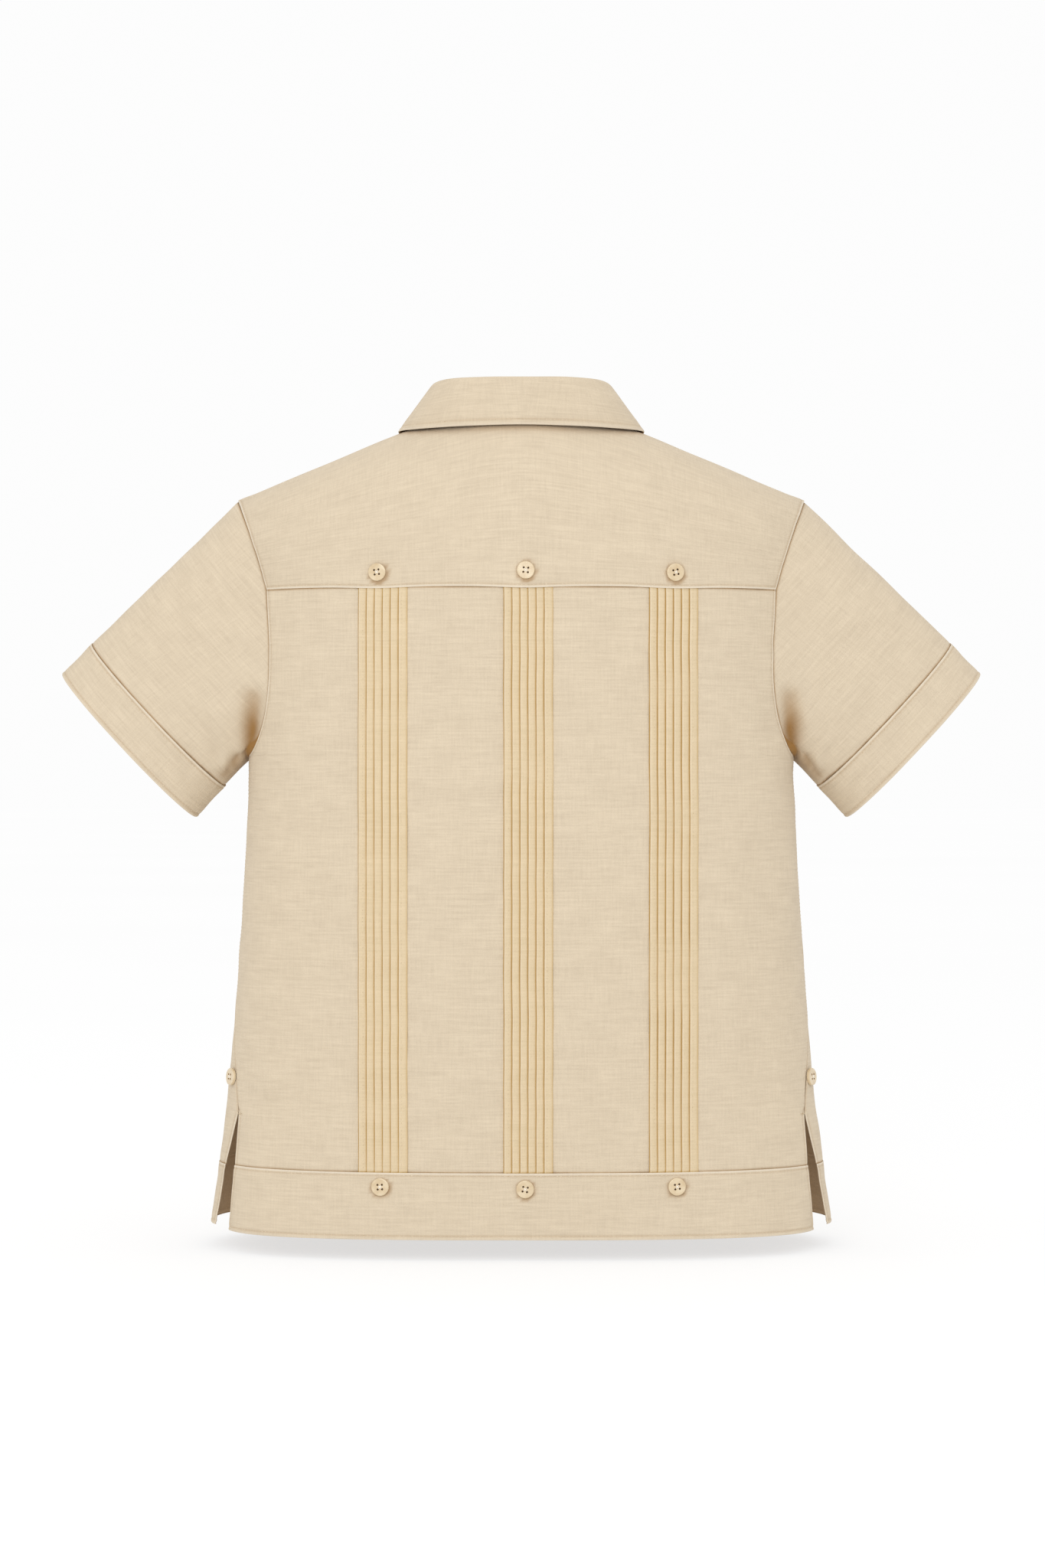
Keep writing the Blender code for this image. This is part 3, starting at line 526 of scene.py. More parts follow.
@dataclass
class Sheet:
    """Points of a cloth piece in rows and columns, and where each lies on the flat cloth."""
    points: Array
    place: Array
    closed: bool = False

    def normals(self) -> Array:
        """Outward directions at the points."""
        points = self.points
        if self.closed:
            points = np.concatenate((points[:, -2:-1], points, points[:, 1:2]), axis=1)
        across = np.gradient(points, axis=1)
        across = across[:, 1:-1] if self.closed else across
        return direction(np.cross(across, np.gradient(self.points, axis=0)))

    def raised(self, heights: Array) -> Sheet:
        """The sheet with each point moved outwards."""
        return replace(self, points=self.points + self.normals() * heights[..., None])

    def mirrored(self) -> Sheet:
        """The same sheet on the wearer's other side, still facing out."""
        points = self.points[:, ::-1] * np.array((-1.0, 1.0, 1.0))
        return replace(self, points=points, place=self.place[:, ::-1] * np.array((-1.0, 1.0)))

    def chosen(self, rows: Array) -> Sheet:
        """A sheet of the chosen rows alone."""
        return Sheet(self.points[rows], self.place[rows])

    def row(self, index: int) -> Array:
        """One row's points."""
        return self.points[index]

    def column(self, index: int) -> Array:
        """One column's points."""
        return self.points[:, index]

    def sizes(self) -> tuple[float, float]:
        """The sheet's mean width and length."""
        width = np.linalg.norm(np.diff(self.points, axis=1), axis=-1).sum(1).mean()
        return width, np.linalg.norm(np.diff(self.points, axis=0), axis=-1).sum(0).mean()


@dataclass(frozen=True)
class StitchLine:
    """Points of a seam's stitching and the outward directions there."""
    points: Array
    normals: Array


@dataclass(frozen=True)
class Stitch:
    """A kind of stitch: the distance from one to the next, and its length, width and height."""
    pitch: float
    size: tuple


PLAIN_STITCH = Stitch(0.0026, (0.0019, 0.00052, 0.00040))
TUCK_STITCH = Stitch(0.0024, (0.0018, 0.00036, 0.00030))
TACK_STITCH = Stitch(0.0005, (0.0005, 0.0013, 0.0006))


def stitch_lines(sheet: Sheet, rows: Sequence[int] = (), columns: Sequence[int] = (),
                 first: float = 0.0, last: float = 0.0) -> list[StitchLine]:
    """Lines of stitching along rows and columns of a finished sheet.

    Args:
        sheet: the sheet they are on.
        rows: the rows they follow.
        columns: the columns they follow.
        first: length left out at each one's start.
        last: length left out at each one's end.

    Returns:
        The lines, those along rows first.
    """
    normals = sheet.normals()
    found = []
    for points, ways in ([(sheet.points[row], normals[row]) for row in rows]
                         + [(sheet.points[:, column], normals[:, column]) for column in columns]):
        length = travelled(points)
        kept = (length >= first) & (length <= length[-1] - last)
        found.append(StitchLine(points[kept], ways[kept]))
    return found


def deselect_all() -> None:
    """Leave nothing selected, so that an operator acts on its own piece only."""
    for piece in bpy.context.selected_objects:
        piece.select_set(False)


def apply_all(piece: bpy.types.Object) -> None:
    """Apply a piece's modifiers in order."""
    bpy.context.view_layer.objects.active = piece
    for modifier in list(piece.modifiers):
        bpy.ops.object.modifier_apply(modifier=modifier.name)


def weld(distance: float = 0.00002) -> None:
    """Join the active piece's points that lie within a distance of each other."""
    bpy.ops.object.mode_set(mode="EDIT")
    bpy.ops.mesh.select_all(action="SELECT")
    bpy.ops.mesh.remove_doubles(threshold=distance)
    bpy.ops.object.mode_set(mode="OBJECT")


def laid_grid(name: str, sheet: Sheet, tone: Array) -> bpy.types.Object:
    """Lay a grid of faces on a sheet.

    Args:
        name: the piece's name.
        sheet: the points it is laid on.
        tone: painted shade (above 0) and painted highlight (below 0) at each point.

    Returns:
        The piece, without thickness.
    """
    rows, columns = sheet.points.shape[:2]
    deselect_all()
    bpy.ops.mesh.primitive_grid_add(x_subdivisions=columns - 1, y_subdivisions=rows - 1, size=1.0)
    piece = bpy.context.object
    piece.name = piece.data.name = name
    mesh = piece.data
    flat = np.empty(len(mesh.vertices) * 3)
    mesh.vertices.foreach_get("co", flat)
    flat = flat.reshape(-1, 3)
    column = np.rint((flat[:, 0] + 0.5) * (columns - 1)).astype(int)
    row = np.rint((flat[:, 1] + 0.5) * (rows - 1)).astype(int)
    mesh.vertices.foreach_set("co", sheet.points[row, column].ravel())
    corners = np.empty(len(mesh.loops), np.int32)
    mesh.loops.foreach_get("vertex_index", corners)
    mesh.uv_layers[0].data.foreach_set("uv", sheet.place[row[corners], column[corners]].ravel())
    # The depth attribute carries the painted shade and the painted highlight
    mesh.attributes.new("depth", "FLOAT", "POINT").data.foreach_set("value", tone[row, column].ravel())
    if sheet.closed:
        weld()
    return piece


def cloth_piece(name: str, sheet: Sheet, thickness: float, tone: Array,
                inside: tuple[float, float]) -> bpy.types.Object:
    """Lay a grid on a sheet and give it its thickness.

    Args:
        name: the piece's name.
        sheet: the points it is laid on.
        thickness: the cloth's thickness, on the inside.
        tone: painted shade (above 0) and painted highlight (below 0) at each point.
        inside: painted shade of the inner face, below the side vents' tops and well above them.

    Returns:
        The piece.
    """
    piece = laid_grid(name, sheet, tone)
    mesh = piece.data
    count = len(mesh.vertices)
    wall = piece.modifiers.new("Thickness", "SOLIDIFY")
    wall.thickness, wall.offset = thickness, -1.0
    apply_all(piece)
    depth = np.empty(len(mesh.vertices), np.float32)
    mesh.attributes["depth"].data.foreach_get("value", depth)
    # Painted shade on the inner face: one value below the vents' tops, another a little above them
    heights = np.array([vertex.co.z for vertex in mesh.vertices[count:]])
    depth[count:] = np.interp(heights, (VENT_TOP_Z, VENT_TOP_Z + INSIDE_FADE), inside)
    mesh.attributes["depth"].data.foreach_set("value", depth)
    bpy.ops.object.shade_smooth_by_angle(angle=math.radians(60))
    return piece


# ---------------------------------------------------------------- finishes

class Signal:
    """A number inside a material, with arithmetic that adds Math nodes."""

    def __init__(self, nodes: MaterialNodes, socket: bpy.types.NodeSocket) -> None:
        """Wrap an output socket."""
        self.nodes, self.socket = nodes, socket

    def __add__(self, other: Signal | float) -> Signal:
        """Sum."""
        return self.nodes.math("ADD", self, other)

    def __sub__(self, other: Signal | float) -> Signal:
        """Difference."""
        return self.nodes.math("SUBTRACT", self, other)

    def __mul__(self, other: Signal | float) -> Signal:
        """Product."""
        return self.nodes.math("MULTIPLY", self, other)


class MaterialNodes:
    """The nodes of one material around its Principled BSDF."""

    def __init__(self, name: str) -> None:
        """Start a material."""
        self.material = bpy.data.materials.new(name)
        self.material.use_nodes = True
        self.tree = self.material.node_tree
        self.shader = self.tree.nodes["Principled BSDF"]

    def add(self, kind: str, settings: dict[str, Any] | None = None,
            sockets: dict[Any, Any] | None = None) -> bpy.types.Node:
        """Add a node.

        Args:
            kind: the node's type.
            settings: its own properties, set first.
            sockets: values or links of its inputs, by name or number.

        Returns:
            The node.
        """
        node = self.tree.nodes.new(kind)
        for key, value in (settings or {}).items():
            setattr(node, key, value)
        for key, value in (sockets or {}).items():
            self.feed(node.inputs[key], value)
        return node

    def feed(self, socket: bpy.types.NodeSocket, value: Any) -> None:
        """Link a signal or a socket into an input, or set its value."""
        if isinstance(value, Signal):
            value = value.socket
        if isinstance(value, bpy.types.NodeSocket):
            self.tree.links.new(value, socket)
        else:
            socket.default_value = value

    def math(self, operation: str, first: Signal, second: Signal | float) -> Signal:
        """A Math node's result."""
        node = self.add("ShaderNodeMath", {"operation": operation}, {0: first, 1: second})
        return Signal(self, node.outputs[0])

    def mix(self, share: Signal, first: Any, second: Any) -> bpy.types.NodeSocket:
        """A colour between two, by a share."""
        settings = {"data_type": "RGBA", "clamp_factor": True}
        return self.add("ShaderNodeMix", settings, {0: share, 6: first, 7: second}).outputs[2]

    def noise(self, *size: float, detail: float = 2.0) -> Signal:
        """Noise whose grains have a size along two directions of the flat cloth or three of the piece."""
        flat = len(size) == 2
        place = self.add("ShaderNodeTexCoord").outputs["UV" if flat else "Object"]
        scale = tuple(1 / length for length in (*size, 1.0)[:3])
        place = self.add("ShaderNodeMapping", None, {"Vector": place, "Scale": scale}).outputs[0]
        settings = {"noise_dimensions": "2D" if flat else "3D"}
        node = self.add("ShaderNodeTexNoise", settings, {"Vector": place, "Scale": 1.0, "Detail": detail})
        return Signal(self, node.outputs[0])

    def bump(self, height: Signal, distance: float) -> None:
        """Let a height turn the surface's normal."""
        node = self.add("ShaderNodeBump", None, {"Height": height, "Distance": distance, "Strength": 1.0})
        self.feed(self.shader.inputs["Normal"], node.outputs[0])

    def set(self, **values: Any) -> None:
        """Set or link the shader's sockets; underscores in their names stand for spaces."""
        for name, value in values.items():
            self.feed(self.shader.inputs[name.replace("_", " ")], value)


def colour(*values: float) -> tuple[float, float, float, float]:
    """A linear colour from its red, green and blue on screen, from 0 to 255."""
    linear = [value / 255 / 12.92 if value <= 10.31 else ((value / 255 + 0.055) / 1.055) ** 2.4
              for value in values]
    return (*linear, 1.0)


@dataclass(frozen=True)
class LinenFinish:
    """Plain-woven linen: slubs along both threads, faint mottling, a fine weave and a dull surface, with
    painted shade and highlight from the depth attribute.
    """
    name: str
    light: tuple
    dark: tuple
    # Colours of the painted shade (depth above 0) and of the painted highlight (depth below 0)
    fold: tuple
    pale: tuple
    slub: float = 1.0
    roughness: float = 0.9
    # Length and width of the grains, and how much weft, warp, streaks and mottling tell
    slub_size: tuple = (0.016, 0.0011)
    streak_size: tuple = (0.050, 0.0022)
    mottle_size: tuple = (0.020, 0.016)
    weave_size: tuple = (0.0014, 0.00042)
    shares: tuple = (1.15, 0.85, 0.7, 0.6)
    weave_height: float = 0.00016
    slub_height: float = 0.8

    @staticmethod
    def crossed(nodes: MaterialNodes, size: tuple, detail: float) -> tuple[Signal, Signal]:
        """Noise drawn out along the weft and noise drawn out along the warp."""
        return nodes.noise(*size, detail=detail), nodes.noise(*size[::-1], detail=detail)

    def make(self) -> bpy.types.Material:
        """Build the material."""
        nodes = MaterialNodes(self.name)
        weft, warp = self.crossed(nodes, self.slub_size, 3.0)
        grains = weft, warp, nodes.noise(*self.streak_size), nodes.noise(*self.mottle_size, detail=3.0)
        parts = [(grain - 0.5) * share for grain, share in zip(grains, self.shares)]
        tone = parts[0] + parts[1] + parts[2] + parts[3]
        base = nodes.mix(tone * self.slub + 0.5, self.dark, self.light)
        # Painted light: depth above 0 mixes in the painted shade colour, below 0 the painted highlight colour
        depth = Signal(nodes, nodes.add("ShaderNodeAttribute", {"attribute_name": "depth"}).outputs["Fac"])
        base = nodes.mix(depth * -1.0, nodes.mix(depth, base, self.fold), self.pale)
        weave_weft, weave_warp = self.crossed(nodes, self.weave_size, 1.0)
        nodes.bump(weave_weft + weave_warp + (weft + warp) * self.slub_height, self.weave_height)
        nodes.set(Base_Color=base, Roughness=self.roughness, Sheen_Weight=0.06, Sheen_Roughness=0.5,
                  Specular_IOR_Level=0.2)
        return nodes.material


@dataclass(frozen=True)
class ThreadFinish:
    """Sewing thread, a little smoother than the cloth."""
    name: str
    light: tuple
    dark: tuple
    roughness: float = 0.7

    def make(self) -> bpy.types.Material:
        """Build the material."""
        nodes = MaterialNodes(self.name)
        strand = nodes.noise(0.0012, 0.0012, 0.0012)
        nodes.bump(nodes.noise(0.0003, 0.0003, 0.0003, detail=1.0), 0.00006)
        base = nodes.mix((strand - 0.5) * 2.0 + 0.5, self.dark, self.light)
        nodes.set(Base_Color=base, Roughness=self.roughness)
        return nodes.material


@dataclass(frozen=True)
class ResinFinish:
    """Polished resin with a faint horn-like cloud in it."""
    name: str
    light: tuple
    dark: tuple
    roughness: float = 0.28

    def make(self) -> bpy.types.Material:
        """Build the material."""
        nodes = MaterialNodes(self.name)
        cloud = nodes.noise(0.0060, 0.0035, 0.0045, detail=3.0)
        nodes.bump(nodes.noise(0.0016, 0.0016, 0.0016), 0.00004)
        nodes.set(Base_Color=nodes.mix((cloud - 0.5) * 2.4 + 0.5, self.dark, self.light),
                  Roughness=(cloud - 0.5) * 0.2 + self.roughness, Coat_Weight=0.6, Coat_Roughness=0.12)
        return nodes.material


@dataclass(frozen=True)
class PlainFinish:
    """A dull surface that glows a little, for the floor, with the faintest mottling."""
    name: str
    light: tuple
    dark: tuple
    glow: float

    def make(self) -> bpy.types.Material:
        """Build the material."""
        nodes = MaterialNodes(self.name)
        nodes.set(Base_Color=nodes.mix(nodes.noise(1.5, 1.5, 1.5), self.dark, self.light), Roughness=0.95,
                  Specular_IOR_Level=0.0, Emission_Color=WHITE, Emission_Strength=self.glow)
        return nodes.material


WHITE = (1.0, 1.0, 1.0, 1.0)


# Painted highlight colour for raised edges; the third colour of each linen is its painted shade colour for
# seams, folds, tucks and hollows
HIGHLIGHT_COLOUR = colour(229, 219, 203)
LINEN = LinenFinish("linen", colour(216, 200, 175), colour(202, 186, 162), colour(150, 110, 58), HIGHLIGHT_COLOUR)
TUCKED_LINEN = LinenFinish("tucked_linen", colour(221, 201, 168), colour(209, 189, 154), colour(184, 150, 92),
                           HIGHLIGHT_COLOUR, 0.8)
THREAD = ThreadFinish("linen_thread", colour(226, 212, 188), colour(182, 156, 120))
RESIN = ResinFinish("button_resin", colour(220, 202, 170), colour(202, 178, 140))
# Painted shade in the buttons' holes: a darker resin for their walls
HOLE_SHADE = ResinFinish("button_hole_shade", colour(172, 126, 70), colour(150, 106, 56))
HOLE_THREAD = ThreadFinish("button_thread", colour(242, 235, 222), colour(226, 214, 194))


# ---------------------------------------------------------------- the shirt's parts

class Shirt:
    """What every part of the shirt shares: its finishes and the way a finished piece is dressed and attached.
    """

    def __init__(self) -> None:
        """Make the finishes once."""
        self.finishes = {finish.name: finish.make()
                         for finish in (LINEN, TUCKED_LINEN, THREAD, RESIN, HOLE_SHADE, HOLE_THREAD)}
        self.stitch = self.stitch_shape()
        self.count = 0

    def dress(self, piece: bpy.types.Object, finish: str, slot: Slot, *nodes: str) -> bpy.types.Object:
        """Give a piece its finish, and let it ride and stand for its CAD nodes.

        Args:
            piece: the finished piece.
            finish: the finish's name.
            slot: the record's material slot; not used.
            nodes: the CAD nodes that it replaces.

        Returns:
            The piece.
        """
        piece.data.materials.clear()
        piece.data.materials.append(self.finishes[finish])
        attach(piece, "root")
        if nodes:
            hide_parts(*nodes)
        self.count += 1
        LOG.info("%s: %d faces", piece.name, len(piece.data.polygons))
        return piece

    def panel(self, name: str, sheet: Sheet, flat: tuple[float, float], thickness: float = ONE_LAYER,
              held: str = "hung", rests_on: Sequence[str] = (), area: float | None = None,
              finish: str = LINEN.name, slot: Slot = Slot.LINEN, tone: Array | None = None,
              inside: tuple[float, float] = INSIDE) -> bpy.types.Object:
        """Args:
            name: the CAD node's name.
            sheet: the finished sheet.
            flat: the size it was cut to; not used.
            thickness: its thickness.
            held: how it is held; not used.
            rests_on: what it rests on; not used.
            area: its flat area where the cut isn't a rectangle; not used.
            finish: the finish's name.
            slot: the record's material slot.
            tone: painted shade (above 0) and painted highlight (below 0) at each point.
            inside: painted shade of the inner face, by the vents and well above them.

        Returns:
            The piece.
        """
        tone = np.zeros(sheet.points.shape[:2]) if tone is None else tone
        piece = self.dress(cloth_piece(f"{name}_cloth", sheet, thickness, tone, inside), finish, slot, name)
        width, length = sheet.sizes()
        LOG.info("%s: %.4f by %.4f m as laid", name, width, length)
        return piece

    @staticmethod
    def stitch_shape() -> tuple[Array, list[tuple]]:
        """Corners and faces of one stitch, one long, one wide and one high, made once."""
        deselect_all()
        bpy.ops.mesh.primitive_uv_sphere_add(segments=6, ring_count=4, radius=0.5)
        piece = bpy.context.object
        corners = np.array([vertex.co for vertex in piece.data.vertices])[:, (2, 0, 1)]
        faces = [tuple(face.vertices) for face in piece.data.polygons]
        bpy.data.objects.remove(piece)
        return corners, faces

    def sew(self, name: str, lines: Sequence[StitchLine], stitch: Stitch = PLAIN_STITCH) -> bpy.types.Object:
        """Sew lines of stitches as one piece.

        Args:
            name: the piece's name.
            lines: where they run.
            stitch: the kind of stitch.

        Returns:
            The piece.
        """
        corners, faces = self.stitch
        shaped = corners * np.array(stitch.size)
        shaped[:, 2] -= stitch.size[2] * 0.8 * (2 * corners[:, 0]) ** 2
        points = []
        for line in lines:
            length = travelled(line.points)
            at = np.arange(stitch.pitch / 2, length[-1], stitch.pitch)
            middle = at_distances(line.points, at)
            ahead, behind = (at_distances(line.points, at + stitch.pitch * share) for share in (0.4, -0.4))
            along = direction(ahead - behind)
            out = direction(np.stack([np.interp(at, length, line.normals[:, axis]) for axis in range(3)], -1))
            ways = np.stack([along, direction(np.cross(out, along)), out], 1)
            points.append((middle[:, None, :] + np.einsum("vk,nkx->nvx", shaped, ways)).reshape(-1, 3))
        points = np.concatenate(points)
        starts = range(0, len(points), len(corners))
        all_faces = [tuple(start + index for index in face) for start in starts for face in faces]
        mesh = bpy.data.meshes.new(name)
        mesh.from_pydata(points.tolist(), [], all_faces)
        piece = bpy.data.objects.new(name, mesh)
        bpy.context.collection.objects.link(piece)
        mesh.shade_smooth()
        return self.dress(piece, THREAD.name, Slot.LINEN)


@dataclass(frozen=True)
class TuckPlan:
    """Where the back's bands of tucks lie, and how each pressed tuck rises and falls across its width."""
    bands: tuple = (("left", 0.089), ("middle", -0.0045), ("right", -0.098))
    width: float = 0.031
    count: int = 6
    base: float = 0.00042
    rise: float = 0.0013
    # Share of a tuck's width, its height as a share of the rise, and its painted shade in the fold (painted
    # highlight on the ridge where below 0)
    shape: tuple = ((0.0, 0.0, 1.0), (0.018, 0.30, 0.60), (0.036, 0.60, -0.25), (0.09, 0.76, -0.35),
                    (0.17, 0.80, 0.0), (0.35, 0.66, 0.0), (0.55, 0.47, 0.0), (0.74, 0.28, 0.04),
                    (0.86, 0.14, 0.34), (0.93, 0.03, 0.95))
    # Share of the painted shade left on the last tuck's far half
    last_tuck_shade: float = 0.3
    push: float = 0.0009
    push_reach: float = 0.006

    def profile(self) -> tuple[Array, Array, Array]:
        """Distances across a band from its +X edge, heights there, and the painted shade and highlight there.
        """
        pitch = self.width / self.count
        rows = [(-0.0005, 0.0, 0.75)]
        for tuck in range(self.count):
            fade = self.last_tuck_shade if tuck == self.count - 1 else 1.0
            rows += [((tuck + share) * pitch, height * self.rise, depth * (fade if share > 0.5 else 1.0))
                     for share, height, depth in self.shape]
        return tuple(np.array(rows + [(self.width, 0.0, 0.4), (self.width + 0.0004, 0.0, 0.75)]).T)

    def lift(self, x: Array, from_seam: Array) -> Array:
        """How far the cloth beside a seam that crosses the bands is pushed out by them."""
        lift = np.zeros(np.shape(x))
        for _, middle in self.bands:
            lift += np.clip((self.width / 2 + 0.0035 - np.abs(x - middle)) / 0.0045, 0, 1)
        return self.push * lift * lift * (3 - 2 * lift) * np.exp(-(from_seam / self.push_reach) ** 2)


TUCKS = TuckPlan()


@dataclass(frozen=True)
class SideRows:
    """Which rows of a body panel run along its vent, its side seam and its armhole."""
    vent: Array
    seam: Array
    armhole: Array

    @classmethod
    def of(cls, z: Array) -> SideRows:
        """Sort rows by their heights at the side."""
        vent, armhole = z <= VENT_TOP_Z, z >= UNDERARM_Z
        return cls(vent, ~vent & ~armhole, armhole)

    def relief(self, points: Array, side: Array) -> Array:
        """Heights of points beside the side edge."""
        return (FOLDED.beside(points, side[self.armhole]) + HEMMED.beside(points, side[self.vent])
                + JOINED.beside(points, side[self.seam]))

    def shade(self, tone: PaintedLight, side: Array) -> None:
        """Paint the side edge's shade and highlight into a panel's painted light."""
        tone.line(SEAM_SHADE, side[self.seam]).fold(side[self.armhole]).hem(side[self.vent])


def body_heights(count: int) -> Array:
    """Heights of a panel's rows from the hem band to the yoke, close together above the underarm."""
    heights = HEM_SEAM_Z + grid_lines(YOKE_SEAM_Z - HEM_SEAM_Z, count)
    floor = UNDERARM_Z + np.array((0.0, 0.00015, 0.0005, 0.0010, 0.0018, 0.0028, 0.0042, 0.0060))
    far = np.abs(heights[:, None] - floor[None, :]).min(1) > 0.0004
    return np.sort(np.concatenate((heights[far], floor)))


@dataclass
class Back:
    """The back, its three bands of tucks and its hem band."""
    shirt: Shirt
    columns: int = 138
    rows: int = 132
    band_rows: int = 9
    tuck_rows: int = 96
    tack_lines: int = 8
    tuck_stitches: tuple = (0.0031, TUCKS.width - 0.0035)
    flat: tuple = (0.412, 0.395)
    flat_area: float = 0.160
    band_flat: tuple = (0.400, 0.044)
    tuck_flat: tuple = (0.036, 0.377)
    creases: tuple = (
        Crease((-0.112, -0.117), (-0.168, -0.172), 0.014, 0.00075, 0.004),
        Crease((-0.130, -0.117), (-0.176, -0.150), 0.011, -0.00060, -0.002),
        Crease((-0.180, -0.196), (-0.118, -0.222), 0.018, 0.00070, 0.005),
        Crease((-0.186, -0.214), (-0.132, -0.285), 0.024, -0.00090, -0.006),
        Crease((-0.182, -0.240), (-0.146, -0.345), 0.026, 0.00080, 0.006),
        Crease((0.182, -0.160), (0.138, -0.128), 0.014, 0.00060, 0.003),
        Crease((0.184, -0.188), (0.128, -0.232), 0.020, -0.00065, 0.006),
        Crease((0.188, -0.216), (0.140, -0.300), 0.026, 0.00085, -0.008),
        Crease((0.180, -0.250), (0.152, -0.372), 0.022, -0.00070, 0.004),
        Crease((-0.190, -0.488), (-0.150, -0.400), 0.020, 0.00070, 0.004),
        Crease((-0.166, -0.489), (-0.136, -0.440), 0.013, -0.00050, 0.002),
        Crease((0.196, -0.478), (0.150, -0.392), 0.024, 0.00070, -0.006),
        Crease((0.060, -0.489), (0.038, -0.420), 0.018, 0.00045, 0.003),
        Crease((-0.048, -0.116), (-0.036, -0.190), 0.020, 0.00045, 0.004),
        Crease((0.052, -0.116), (0.046, -0.170), 0.016, -0.00040, -0.003),
        Crease((-0.040, -0.488), (-0.056, -0.380), 0.026, -0.00045, 0.004),
    )

    def level_rows(self, heights: Array, count: int) -> Sheet:
        """Rows of the back at heights, from its left to its right edge."""
        points, place = [], []
        for z in heights:
            edge = FORM.edge_angle(Side.BACK, z)
            path = FORM.point(Side.BACK, z, np.linspace(edge, -edge, 601))
            length = travelled(path)[-1]
            lines = grid_lines(length, count)
            points.append(at_distances(path, lines))
            place.append(np.stack([lines - length / 2, np.full(lines.shape, z)], -1))
        return Sheet(np.array(points), np.array(place))

    def build(self) -> None:
        """Make every piece of the back."""
        self.make_panel()
        self.make_hem_band()
        for seed, (name, middle) in enumerate(TUCKS.bands):
            self.make_tucks(name, middle, 40 + seed)

    def make_panel(self) -> None:
        """The back itself, under the hem band's edge and the yoke's, over the sleeves'."""
        heights = body_heights(self.rows)
        sheet, rows = self.level_rows(heights, self.columns), SideRows.of(heights)
        points, place, sides = sheet.points, sheet.place, (sheet.column(0), sheet.column(-1))
        relief = UNDER.beside(points, sheet.row(0), sheet.row(-1))
        relief += sum(rows.relief(points, side) for side in sides)
        relief += sum(crease.at(place) for crease in self.creases) + unevenness(place, 11, 0.00028)
        relief += puckers(place[..., 0], place[..., 1] - HEM_SEAM_Z, 12, 0.00010)
        relief += puckers(place[..., 0], YOKE_SEAM_Z - place[..., 1], 13, 0.00008)
        done = sheet.raised(relief)
        tone = PaintedLight(points).under(sheet.row(0), sheet.row(-1))
        for side in sides:
            rows.shade(tone, side)
        self.shirt.panel("back", done, self.flat, area=self.flat_area, rests_on=["yoke"], tone=tone.value,
                         inside=BODY_INSIDE)
        lines = []
        for chosen, column in zip((rows.armhole, rows.seam, rows.vent), (NEAR_STITCH, NEAR_STITCH, FAR_STITCH)):
            lines += stitch_lines(done.chosen(chosen), columns=(column, -1 - column))
        self.shirt.sew("stitches_back", lines)
        top, ways = int(np.flatnonzero(rows.vent)[-1]), done.normals()
        tacks = [StitchLine(done.points[top, columns], ways[top, columns])
                 for columns in (slice(0, self.tack_lines), slice(-self.tack_lines, None))]
        self.shirt.sew("stitches_vent_tacks", tacks, TACK_STITCH)

    def make_hem_band(self) -> None:
        """The hem band, its upper edge laid over the back and the tucks."""
        heights = HEM_Z + grid_lines(HEM_SEAM_Z - HEM_Z + 0.0002, self.band_rows)
        sheet = self.level_rows(heights, self.columns)
        points, place = sheet.points, sheet.place
        hems = sheet.row(0), sheet.column(0), sheet.column(-1)
        from_seam = distance_to(points, sheet.row(-1))
        relief = FOLDED.at(from_seam) + HEMMED.beside(points, *hems) + TUCKS.lift(points[..., 0], from_seam)
        relief += unevenness(place, 14, 0.00022) + puckers(place[..., 0], from_seam, 15, 0.00011)
        relief += puckers(place[..., 0], place[..., 1] - HEM_Z, 16, 0.00010)
        done = sheet.raised(relief)
        tone = PaintedLight(points).fold(sheet.row(-1)).hem(*hems)
        self.shirt.panel("hem_band_back", done, self.band_flat, HEM_LAYERS, rests_on=["back"],
                         tone=tone.value + button_shade(points, "hem"), inside=BODY_INSIDE)
        self.shirt.sew("stitches_hem_back", stitch_lines(done, rows=(-1 - NEAR_STITCH, FAR_STITCH))
                       + stitch_lines(done, columns=(FAR_STITCH, -1 - FAR_STITCH), last=0.002))

    def make_tucks(self, name: str, middle: float, seed: int) -> None:
        """One band of pressed tucks, flattened where the yoke and the hem band hold its ends."""
        across, height, depth = TUCKS.profile()
        x = middle + TUCKS.width / 2 - across
        z = HEM_SEAM_Z + 0.0001 + grid_lines(YOKE_SEAM_Z - HEM_SEAM_Z - 0.0002, self.tuck_rows)
        wander = unevenness(np.stack([z, np.zeros(len(z))], -1), seed, 0.00012)
        points = FORM.on_back(x[None, :] + wander[:, None], z[:, None])
        place = np.stack(np.broadcast_arrays(across[None, :], z[:, None]), -1)
        sheet = Sheet(points, place)
        ends = np.minimum(z - z[0], z[-1] - z)
        held = 0.42 + 0.58 * np.clip(ends / 0.0055, 0, 1) ** 1.5
        relief = TUCKS.base + height[None, :] * held[:, None]
        relief = relief + np.where(depth > 0.5, 0.0, 1.0) * unevenness(place, seed + 5, 0.00007)
        done = sheet.raised(relief)
        # Painted shade in the tucks' crevices and painted highlight on their ridges, varied a little along the
        # band, with painted shade at the band's ends
        change = 1 + np.clip(unevenness(place * np.array((0.2, 1.0)), seed + 9, 0.35), -0.3, 0.15)
        tone = depth[None, :] * change + PaintedLight(points).under(sheet.row(0), sheet.row(-1)).value
        self.shirt.panel(f"tuck_band_{name}", done, self.tuck_flat, TUCK_LAYER, rests_on=["back"],
                         held="folded", finish=TUCKED_LINEN.name, slot=Slot.TUCKED, tone=tone)
        columns = [int(np.abs(across - at).argmin()) for at in self.tuck_stitches]
        lines = stitch_lines(done, columns=columns, first=0.0015, last=0.0015)
        self.shirt.sew(f"stitches_tucks_{name}", lines, TUCK_STITCH)


